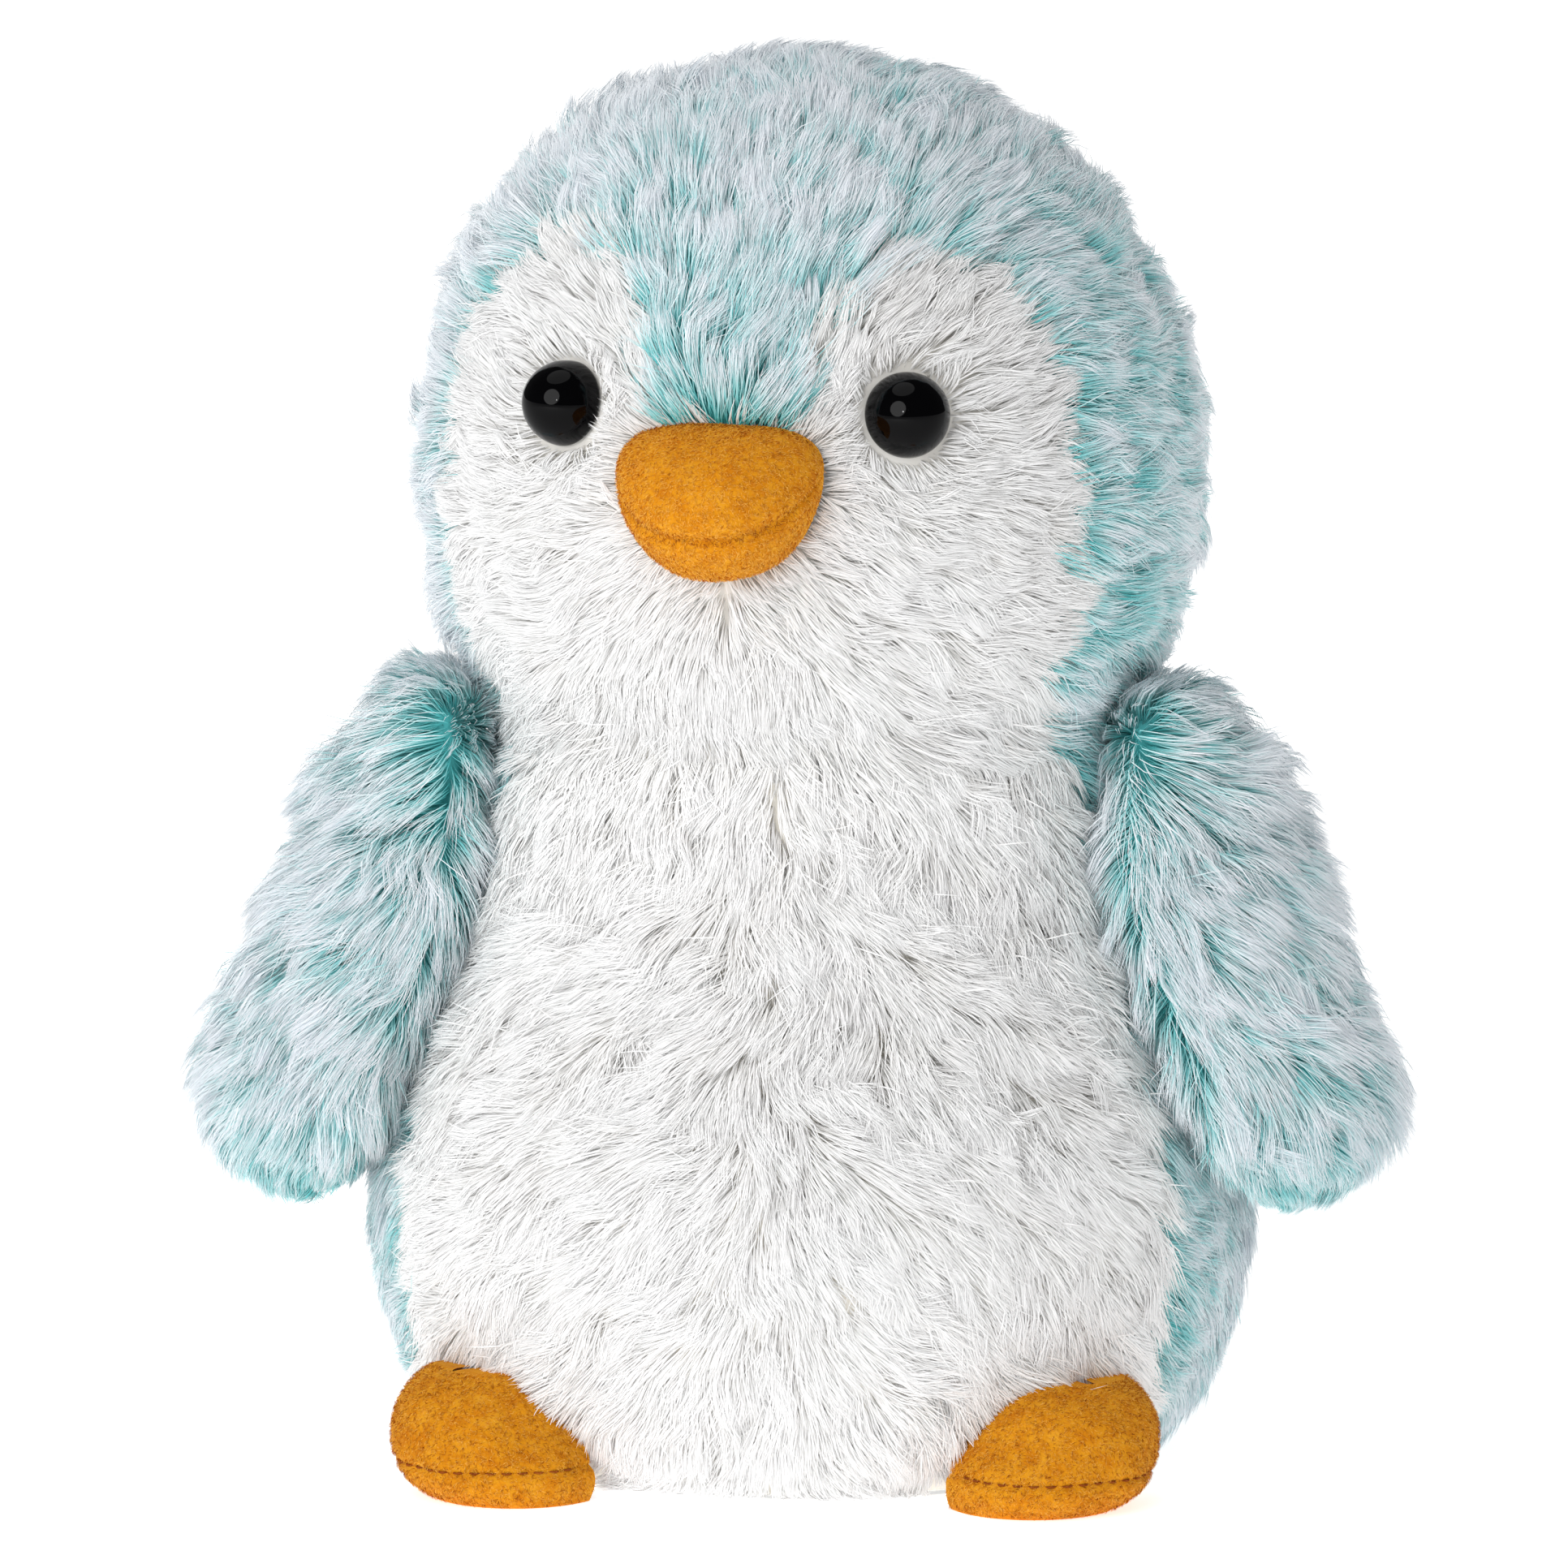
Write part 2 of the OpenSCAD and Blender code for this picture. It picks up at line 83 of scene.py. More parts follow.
FACE_LIFT, BELLY_LIFT = 0.5, 1.4  # how much nearer to the surface the white backings are
EYE_SINK, EYE_DOME = 2.4, 6.0  # depth of an eye's rim in the pile, and height of its dome


def smooth(t):
    t = np.clip(t, 0, 1)
    return t * t * (3 - 2 * t)


def quarter(t):
    return np.sqrt(np.maximum(1 - t * t, 0))


def unit(v):
    return v / np.maximum(np.linalg.norm(v, axis=-1, keepdims=True), 1e-9)


def dot(a, b):
    return (a * b).sum(-1, keepdims=True)


def waves(points, period, seed, count=7):
    """Smooth noise from -1 to 1 about, with a chosen period in millimetres."""
    r = np.random.default_rng(seed)
    f = unit(r.normal(size=(count, 3))) * (2 * math.pi / period) * r.uniform(0.6, 1.5, (count, 1))
    return np.sin(points @ f.T + r.uniform(0, 6.28, count)).sum(-1) / math.sqrt(count / 1.2)


# ---------------------------------------------------------------- the surfaces of the CAD part


def turned(p):
    c, s = math.cos(HEAD_TURN), math.sin(HEAD_TURN)
    return np.stack([p[..., 0] * c + p[..., 1] * s, -p[..., 0] * s + p[..., 1] * c, p[..., 2]], -1)


def unturned(p):
    c, s = math.cos(HEAD_TURN), math.sin(HEAD_TURN)
    return np.stack([p[..., 0] * c - p[..., 1] * s, p[..., 0] * s + p[..., 1] * c, p[..., 2]], -1)


def head_at(az, el, inset=0.0):
    az, el = np.radians(az), np.radians(el)
    r = (HEAD_R - inset) * np.cos(el)
    return turned(np.stack([r * np.sin(az), -r * np.cos(az),
                            HEAD_Z + (HEAD_V - inset) * np.sin(el)], -1))


def patch_open(el):
    low = PEAK_END - 2
    return quarter(np.clip((el - low) / (PATCH_TOP - low), 0, 1))


PATCH_MID, PATCH_HALF = (FACE_AZ + PEAK_AZ) / 2, (FACE_AZ - PEAK_AZ) / 2


def outer_seam(el):
    return PATCH_MID + PATCH_HALF * patch_open(el)


def inner_seam(el):
    return np.where(el < PEAK_END, 0, PATCH_MID - PATCH_HALF * patch_open(el))


def body_r(z):
    z = np.asarray(z, float)
    low = BASE_R + (BELLY_R - BASE_R) * quarter((BELLY_Z - z) / BELLY_Z) ** FULLNESS
    turn = np.maximum(np.cos(np.pi / 2 * (z - BELLY_Z) / (BODY_H - BELLY_Z)), 0)
    return np.where(z < BELLY_Z, low, NECK_R + (BELLY_R - NECK_R) * turn**SLOPE)


def body_at(z, az, inset=0.0):
    """az runs from the front seam towards the left wing."""
    r, a = body_r(z) - inset, np.radians(az)
    return np.stack([r * np.sin(a), -r * np.cos(a), z + 0 * a], -1)


def wing_down(z):
    return (SHOULDER_Z - z) / (SHOULDER_Z - TIP_Z)


def wing_half_t(z):
    return (SHOULDER_T + (WING_T - SHOULDER_T) * smooth(wing_down(z) / 0.4)) / 2


def wing_at(side, z, phi, inset=0.0):
    """phi is 0 on the outer face, 90 on the front edge and 180 on the inner face."""
    tip_top = TIP_Z + TIP_ROUND
    phi = np.radians(phi)
    top = quarter((z - SHOULDER_Z) / (SHOULDER_T / 2 - inset))
    tip = quarter((tip_top - z) / (TIP_ROUND - inset))
    off = np.where(z > SHOULDER_Z, top, np.where(z < tip_top, tip, 1))
    level = np.maximum(z, tip_top)
    share = np.where(z < tip_top, quarter((tip_top - z) / TIP_ROUND), 1)
    middle = WING_GAP + np.maximum(body_r(level) + wing_half_t(level),
                                   body_r(z) + wing_half_t(z) * share)
    half_chord = (SHOULDER_CHORD + (WING_CHORD - SHOULDER_CHORD) * smooth(wing_down(z) / 0.45)) / 2
    curl = WING_CURL * smooth(wing_down(z) / 0.4) * np.sin(phi) ** 2 * off
    r = middle + (wing_half_t(z) - inset) * off * np.cos(phi) - curl
    az = math.radians(WING_AZ) + (half_chord - inset) * off * np.sin(phi) / middle
    return np.stack([side * r * np.cos(az), -r * np.sin(az), z + 0 * phi], -1)


def beak_at(tau, beta, inset=0.0):
    tau, beta = np.radians(tau), np.radians(beta)
    u = (BEAK_W / 2 - inset) * np.cos(tau)
    v = (BEAK_H / 2 - inset) * np.cos(beta) * np.sin(tau) \
        + BEAK_SMILE * np.abs(np.cos(tau)) ** (3 - np.cos(beta))
    out = (BEAK_D - inset) * np.sin(beta) * np.sin(tau)
    front = HEAD_R * quarter(np.sqrt((u / HEAD_R) ** 2 + ((v + BEAK_UP) / HEAD_V) ** 2))
    return turned(np.stack(np.broadcast_arrays(u, -(front + 0.1 + out), HEAD_Z + BEAK_UP + v), -1))


FOOT_HINGE = float(body_r(FOOT_H)) + JOINT_GAP


def foot_full(z):
    top = quarter((z - SOLE_Z) / (FOOT_H - SOLE_Z + 0.4))
    return np.where(z > SOLE_Z, top, 1 - 0.3 * ((SOLE_Z - z) / SOLE_Z) ** 2)


def foot_shift(z):
    """How far a foot's section at a height is set outwards."""
    return FOOT_LEAN * (z - SOLE_Z) / FOOT_H


def foot_at(side, z, theta, inset=0.0):
    """theta is 0 at the toe and 90 on the outer side."""
    theta = np.radians(theta)
    behind = np.maximum(body_r(z) + JOINT_GAP, FOOT_HINGE - 4)
    toe = FOOT_HINGE + 0.6 + FOOT_OUT * foot_full(z)
    back = behind + 0.5
    r = back + (toe - back - inset) * np.cos(theta)
    half_w = FOOT_W / 2 * (0.4 + 0.6 * foot_full(z))
    az = math.radians(FOOT_AZ) + ((half_w - inset) * np.sin(theta) + foot_shift(z)) / behind
    return np.stack([side * r * np.sin(az), -r * np.cos(az), z + 0 * theta], -1)


# ---------------------------------------------------------------- materials


def principled(name, **values):
    mat = bpy.data.materials.new(name)
    mat.use_nodes = True
    nt = mat.node_tree
    bsdf = nt.nodes["Principled BSDF"]
    for key, value in values.items():
        bsdf.inputs[key.replace("_", " ")].default_value = value
    return mat, nt, bsdf


def node(nt, kind, **values):
    n = nt.nodes.new(kind)
    for key, value in values.items():
        setattr(n, key, value)
    return n


def srgb(r, g, b):
    """A colour in linear light from 0-255 display values."""
    c = np.array([r, g, b]) / 255
    lin = np.where(c <= 0.04045, c / 12.92, ((c + 0.055) / 1.055) ** 2.4)
    return (*lin.tolist(), 1.0)


def ramp(nt, stops):
    n = node(nt, "ShaderNodeValToRGB")
    while len(n.color_ramp.elements) < len(stops):
        n.color_ramp.elements.new(0.5)
    for element, (at, colour) in zip(n.color_ramp.elements, stops):
        element.position = at
        element.color = colour
    return n


def pile_material(name, stops, tints, **values):
    """Fibre colour from root to tip, with each fibre's own tint."""
    mat, nt, bsdf = principled(name, **values)
    uv = node(nt, "ShaderNodeUVMap", uv_map="OFBake")
    split = node(nt, "ShaderNodeSeparateXYZ")
    along = ramp(nt, stops)
    tint = ramp(nt, tints)
    mix = node(nt, "ShaderNodeMix", data_type="RGBA", blend_type="MULTIPLY")
    mix.inputs["Factor"].default_value = 1
    shift = node(nt, "ShaderNodeMath", operation="MULTIPLY_ADD")
    shift.inputs[1].default_value = 0.45  # how far a tint of 1 moves a fibre's colours down it
    link = nt.links.new
    link(uv.outputs[0], split.inputs[0])
    link(split.outputs["X"], shift.inputs[0])
    link(split.outputs["Y"], shift.inputs[2])
    link(shift.outputs[0], along.inputs[0])
    link(split.outputs["X"], tint.inputs[0])
    link(along.outputs[0], mix.inputs["A"])
    link(tint.outputs[0], mix.inputs["B"])
    link(mix.outputs["Result"], bsdf.inputs["Base Color"])
    return mat


def mottled(name, colours, scale, bump=0.0, bump_scale=0.0, **values):
    """Cloth whose colour wanders between a few tones, with an optional fine bump."""
    mat, nt, bsdf = principled(name, **values)
    coord = node(nt, "ShaderNodeTexCoord")
    noise = node(nt, "ShaderNodeTexNoise")
    noise.inputs["Scale"].default_value = scale
    noise.inputs["Detail"].default_value = 5
    tones = ramp(nt, [(0.3 + 0.4 * i / (len(colours) - 1), c) for i, c in enumerate(colours)])
    link = nt.links.new
    link(coord.outputs["Object"], noise.inputs["Vector"])
    link(noise.outputs[0], tones.inputs[0])
    link(tones.outputs[0], bsdf.inputs["Base Color"])
    if bump:
        grain = node(nt, "ShaderNodeTexNoise")
        grain.inputs["Scale"].default_value = bump_scale
        grain.inputs["Detail"].default_value = 3
        relief = node(nt, "ShaderNodeBump")
        relief.inputs["Strength"].default_value = bump
        relief.inputs["Distance"].default_value = 0.0003
        link(coord.outputs["Object"], grain.inputs["Vector"])
        link(grain.outputs[0], relief.inputs["Height"])
        link(relief.outputs[0], bsdf.inputs["Normal"])
    return mat


SOFT = dict(Roughness=0.6, Specular_IOR_Level=0.2, Sheen_Weight=0.15, Sheen_Roughness=0.4)
KNIT = dict(Roughness=0.9, Specular_IOR_Level=0.1)
TEAL_PILE = pile_material(
    "teal_pile",
    [(0.0, srgb(50, 162, 164)), (0.36, srgb(96, 202, 203)), (0.62, srgb(168, 228, 229)),
     (0.84, srgb(228, 242, 244)), (1.0, srgb(240, 244, 248))],
    [(0.0, (0.95, 0.96, 0.97, 1)), (1.0, (1.0, 1.0, 1.0, 1))],
    **SOFT)
WHITE_PILE = pile_material(
    "white_pile",
    [(0.0, srgb(245, 242, 234)), (0.45, srgb(251, 250, 248)), (1.0, srgb(253, 253, 253))],
    [(0.0, (0.96, 0.96, 0.96, 1)), (1.0, (1.0, 1.0, 1.0, 1))],
    **SOFT)
# The face's white pile is a darker copy of the belly's: painted shade for the chin and cheeks
FACE_PILE_SHADED = pile_material(
    "face_pile",
    [(0.0, srgb(236, 234, 228)), (0.45, srgb(244, 243, 241)), (1.0, srgb(247, 247, 247))],
    [(0.0, (0.96, 0.96, 0.96, 1)), (1.0, (1.0, 1.0, 1.0, 1))],
    **SOFT)
TEAL_BACKING = mottled("teal_backing", [srgb(60, 150, 152), srgb(90, 178, 180)], 220, **KNIT)
# The face's backing is likewise a darker copy of the belly's: painted shade
FACE_BACKING_SHADED = mottled("face_backing", [srgb(228, 225, 218), srgb(236, 234, 229)], 220, **KNIT)
WHITE_BACKING = mottled("white_backing", [srgb(242, 238, 228), srgb(248, 245, 238)], 220, **KNIT)
FELT = mottled("orange_felt", [srgb(200, 120, 8), srgb(216, 142, 18), srgb(224, 156, 34)], 420,
               bump=0.5, bump_scale=2600, Roughness=0.85, Specular_IOR_Level=0.12,
               Sheen_Weight=0.2, Sheen_Roughness=0.5, Sheen_Tint=srgb(255, 190, 90))
FUZZ = pile_material(
    "felt_fuzz",
    [(0.0, srgb(206, 126, 8)), (0.6, srgb(228, 154, 30)), (1.0, srgb(244, 186, 88))],
    [(0.0, (0.34, 0.16, 0.09, 1)), (0.16, (0.62, 0.42, 0.28, 1)), (0.32, (0.86, 0.84, 0.80, 1)),
     (1.0, (1, 1, 1, 1))],
    Roughness=0.8, Specular_IOR_Level=0.15)
THREAD = mottled("seam_thread", [srgb(132, 62, 12), srgb(160, 84, 22)], 900,
                 Roughness=0.8, Specular_IOR_Level=0.2)
EYE, _, _ = principled("eye_gloss", Base_Color=srgb(3, 3, 4), Roughness=0.05,
                       Specular_IOR_Level=0.16)


# ---------------------------------------------------------------- meshes


def new_mesh(name, points, faces, material, uv=None, lean=None):
    """points in mm; faces an array of triangles or quads."""
    faces = np.asarray(faces, np.int32)
    me = bpy.data.meshes.new(name)
    n, k = faces.shape
    me.vertices.add(len(points))
    me.vertices.foreach_set("co", (np.asarray(points, np.float32) * MM).ravel())
    me.loops.add(n * k)
    me.loops.foreach_set("vertex_index", faces.ravel())
    me.polygons.add(n)
    me.polygons.foreach_set("loop_start", np.arange(0, n * k, k, dtype=np.int32))
    me.polygons.foreach_set("loop_total", np.full(n, k, np.int32))
    me.polygons.foreach_set("use_smooth", np.full(n, True))
    if uv is not None:
        layer = me.uv_layers.new(name="OFBake")
        layer.data.foreach_set("uv", np.asarray(uv, np.float32).ravel())
    me.update(calc_edges=True)
    if lean is not None:  # shading normals, which lean to the cover's so that the pile looks soft
        me.normals_split_custom_set_from_vertices(np.asarray(lean, np.float32))
    me.materials.append(material)
    obj = bpy.data.objects.new(name, me)
    bpy.context.scene.collection.objects.link(obj)
    return obj


def grid_faces(rows, cols, flip=False):
    i, j = np.meshgrid(np.arange(rows - 1), np.arange(cols - 1), indexing="ij")
    a = (i * cols + j).ravel()
    quads = np.stack([a, a + 1, a + cols + 1, a + cols], -1)
    return quads[:, ::-1] if flip else quads


def grid_piece(name, points, material, outward):
    """A sheet from a grid of points whose faces look away from the point outward."""
    rows, cols = points.shape[:2]
    mid = points[rows // 2, cols // 2]
    d1 = points[rows // 2 + 1, cols // 2] - mid
    d2 = points[rows // 2, cols // 2 + 1] - mid
    flip = np.dot(np.cross(d2, d1), mid - outward) < 0
    return new_mesh(name, points.reshape(-1, 3), grid_faces(rows, cols, flip), material)


def settle(obj, body, slot, *nodes, fill=None):
    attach(obj, body)
    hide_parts(*nodes)
    return obj


# ---------------------------------------------------------------- pile

DENSITY = 10.5  # fibres a square millimetre
TUFT_GAP, LOCK_GAP = 2.6, 0.95  # mm between tufts, and between the locks in them
PILE_LIMIT = 39000  # fibres in one piece, so that it stays under 200,000 faces


def scatter(surface, a_range, b_range, density, keep=None, cells=(70, 70)):
    """Roots spread evenly by area over surface(a, b), density a square millimetre."""
    a, b = np.linspace(*a_range, cells[0] + 1), np.linspace(*b_range, cells[1] + 1)
    grid = surface(*np.meshgrid(a, b, indexing="ij"))
    d1, d2 = grid[1:, :-1] - grid[:-1, :-1], grid[:-1, 1:] - grid[:-1, :-1]
    area = np.linalg.norm(np.cross(d1, d2), axis=-1).ravel()
    n = int(area.sum() * density)
    cell = rng.choice(area.size, n, p=area / area.sum())
    i, j = np.divmod(cell, cells[1])
    u = a[i] + (a[1] - a[0]) * rng.random(n)
    v = b[j] + (b[1] - b[0]) * rng.random(n)
    if keep is not None:
        ok = keep(u, v)
        u, v = u[ok], v[ok]
    return u, v


def frame_of(surface, u, v, du, dv, centre):
    """Points and outward normals, with the surface's own directions of u and v."""
    p = surface(u, v)
    tu = surface(u + du, v) - surface(u - du, v)
    tv = surface(u, v + dv) - surface(u, v - dv)
    n = unit(np.cross(tu, tv))
    n = np.where(dot(n, p - centre(u, v)) < 0, -n, n)
    return p, n, unit(tu), unit(tv)


def side_turn(t, n, angle):
    """Turns the flow t about the normal n by an angle in radians."""
    return t * np.cos(angle)[:, None] + np.cross(n, t) * np.sin(angle)[:, None]


def flatten_to(t, n):
    return unit(t - n * dot(t, n))


RISE = np.array([0.0, 0.34, 0.68, 1.0])  # places along a fibre, from root to tip


def nearest(p, chosen):
    """For each root, the place in chosen of the nearest chosen root."""
    tree = kdtree.KDTree(len(chosen))
    for k, i in enumerate(chosen):
        tree.insert(p[i], k)
    tree.balance()
    return np.fromiter((tree.find(q)[1] for q in p), int, len(p))


def comb(p, n, flow, length, lift, seed, gather=0.5, tousle=0.26, ruffle=0.09, curl=1.0,
         frost_and_painted_light=0.0):
    """Fibre centre lines, gathered into fine locks and those into tufts.

    Returns points of shape (fibres, 4, 3), and each fibre's tint: 1 is the palest, and below 0
    the tip loses its frosting too.
    """
    count = len(p)
    r = np.random.default_rng(seed)
    flow = flatten_to(flow, n)
    flow = side_turn(flow, n, tousle * waves(p, 17, seed) + 0.5 * tousle * waves(p, 7, seed + 1))
    order = r.permutation(count)
    tufts = order[: max(1, int(count / DENSITY / TUFT_GAP**2))]
    locks = order[: max(1, int(count / DENSITY / LOCK_GAP**2))]
    my_tuft, my_lock = nearest(p, tufts), nearest(p, locks)

    def spread(group, members, amount):
        return r.normal(0, amount, len(group))[members]

    stray = r.random(count) < 0.06
    turn = spread(tufts, my_tuft, 0.15) + spread(locks, my_lock, 0.08) + r.normal(0, 0.15, count) \
        + stray * r.normal(0, 0.35, count)
    rise = np.clip(1 + spread(tufts, my_tuft, ruffle) + spread(locks, my_lock, 0.6 * ruffle)
                   + 0.10 * waves(p, 9, seed + 2) + r.normal(0, 0.08, count)
                   + stray * r.uniform(-0.1, 0.25, count), 0.4, 1.5)
    reach = np.clip(1 + spread(tufts, my_tuft, 0.10) + spread(locks, my_lock, 0.08)
                    + r.normal(0, 0.12, count), 0.6, 1.4)
    bend = curl * (spread(tufts, my_tuft, 0.7) + spread(locks, my_lock, 0.4))[:, None, None]
    own = side_turn(flow, n, turn)
    s = RISE[None, :, None]
    up = (lift * rise)[:, None, None] * (1 - (1 - s) ** 2.1)
    go = (length * reach * 0.86)[:, None, None] * (0.22 * s + 0.78 * s**1.5)
    lines = p[:, None] + n[:, None] * up + own[:, None] * go
    lines = lines + np.cross(n, own)[:, None] * bend * s**2
    hold = np.clip(gather * (1 + spread(tufts, my_tuft, 0.3)), 0.1, 0.9)
    hold = np.where(stray, 0.08, hold)[:, None, None]
    lines = lines + (lines[tufts][my_tuft] - lines) * (0.7 * hold * s**1.6)
    lines = lines + (lines[locks][my_lock] - lines) * (0.8 * hold * s**1.2)
    middle = p - p.mean(0)
    streaks = waves(middle - 0.8 * flow * dot(middle, flow), 5, seed + 3)
    tint = 0.5 + 0.13 * streaks + 0.10 * waves(p, 16, seed + 4) + spread(tufts, my_tuft, 0.07) \
        + spread(locks, my_lock, 0.06) + r.normal(0, 0.12, count) + frost_and_painted_light
    return lines, np.clip(tint, -0.5, 0.97)


WIDTHS = np.array([0.14, 0.14, 0.10])  # mm across a fibre at its first three places


def fibres(name, lines, normals, tint, material, body, slot, nodes, thickness=1.0):
    """Tapering fibres along the lines, split into pieces of bearable size."""
    order = np.argsort(lines[:, 0, 2], kind="stable")
    pieces = max(1, math.ceil(len(lines) / PILE_LIMIT))
    strip = np.array([(0, 1, 3), (0, 3, 2), (2, 3, 5), (2, 5, 4), (4, 5, 6)])
    places = np.array([(0, 0), (1, 0), (0, RISE[1]), (1, RISE[1]), (0, RISE[2]), (1, RISE[2]),
                       (0.5, 1)]) * [0.012, 1]
    for k, part in enumerate(np.array_split(order, pieces)):
        c, n0 = lines[part], normals[part][:, None]
        n = len(c)
        tangent = unit(np.stack([c[:, 1] - c[:, 0], c[:, 2] - c[:, 0], c[:, 3] - c[:, 1]], 1))
        across = unit(np.cross(tangent, n0))
        face = np.cross(across, tangent)
        twist = rng.uniform(-1.25, 1.25, n)[:, None, None]
        across, face = (across * np.cos(twist) + face * np.sin(twist),
                        face * np.cos(twist) - across * np.sin(twist))
        face = np.where(dot(face, n0) < 0, -face, face)
        half = across * (WIDTHS * thickness / 2)[None, :, None]
        pts, lean = np.empty((n, 7, 3)), np.empty((n, 7, 3))
        pts[:, 0:6:2], pts[:, 1:6:2], pts[:, 6] = c[:, :3] - half, c[:, :3] + half, c[:, 3]
        soft = unit(face * 0.5 + n0 * 0.9)
        lean[:, 0:6:2], lean[:, 1:6:2] = unit(soft - across * 0.5), unit(soft + across * 0.5)
        lean[:, 6] = soft[:, 2]
        faces = (strip[None] + 7 * np.arange(n)[:, None, None]).reshape(-1, 3)
        uv = np.broadcast_to(places[strip.ravel()][None], (n, 15, 2)).copy()
        uv[:, :, 0] += (np.maximum(tint[part], 0.02) * 0.98)[:, None]
        uv[:, :, 1] *= (1 + np.minimum(tint[part], 0))[:, None]
        label = name if pieces == 1 else f"{name}_{k + 1}"
        obj = new_mesh(label, pts.reshape(-1, 3), faces, material, uv=uv, lean=lean.reshape(-1, 3))
        settle(obj, body, slot, *nodes)


# ---------------------------------------------------------------- head

BEAK_DIR = np.array([0.0, -1.0, BEAK_UP / HEAD_V])
BEAK_DIR = BEAK_DIR / np.linalg.norm(BEAK_DIR)


def eye_offset(az, el, side):
    """How far a point of the head is from an eye's middle, across the surface."""
    p = head_at(az, el)
    return p - head_at(np.array(side * EYE_AZ), np.array(EYE_EL))


def beak_share(az, el):
    """1 on the beak's rim, less inside it."""
    p = unturned(head_at(az, el))
    across = p[..., 0] / (BEAK_W / 2)
    up = p[..., 2] - HEAD_Z - BEAK_UP
    up = up - BEAK_SMILE * np.minimum(np.abs(across), 1) ** np.where(up > 0, 2, 4)
    return np.hypot(across, up / (BEAK_H / 2)) + np.where(p[..., 1] > 0, 10, 0)


def bare(az, el):
    """True where the beak or an eye covers the head."""
    hidden = beak_share(az, el) < 0.93
    for side in SIDES.values():
        hidden |= np.linalg.norm(eye_offset(az, el, side), axis=-1) < EYE_R + 0.5
    return hidden


def in_face(az, el):
    a = np.abs(az)
    return (el < PATCH_TOP) & (a < outer_seam(el)) & (a > inner_seam(el))


NECK_EL = -math.degrees(math.asin((HEAD_RISE - 0.4) / (HEAD_V - BACKING)))


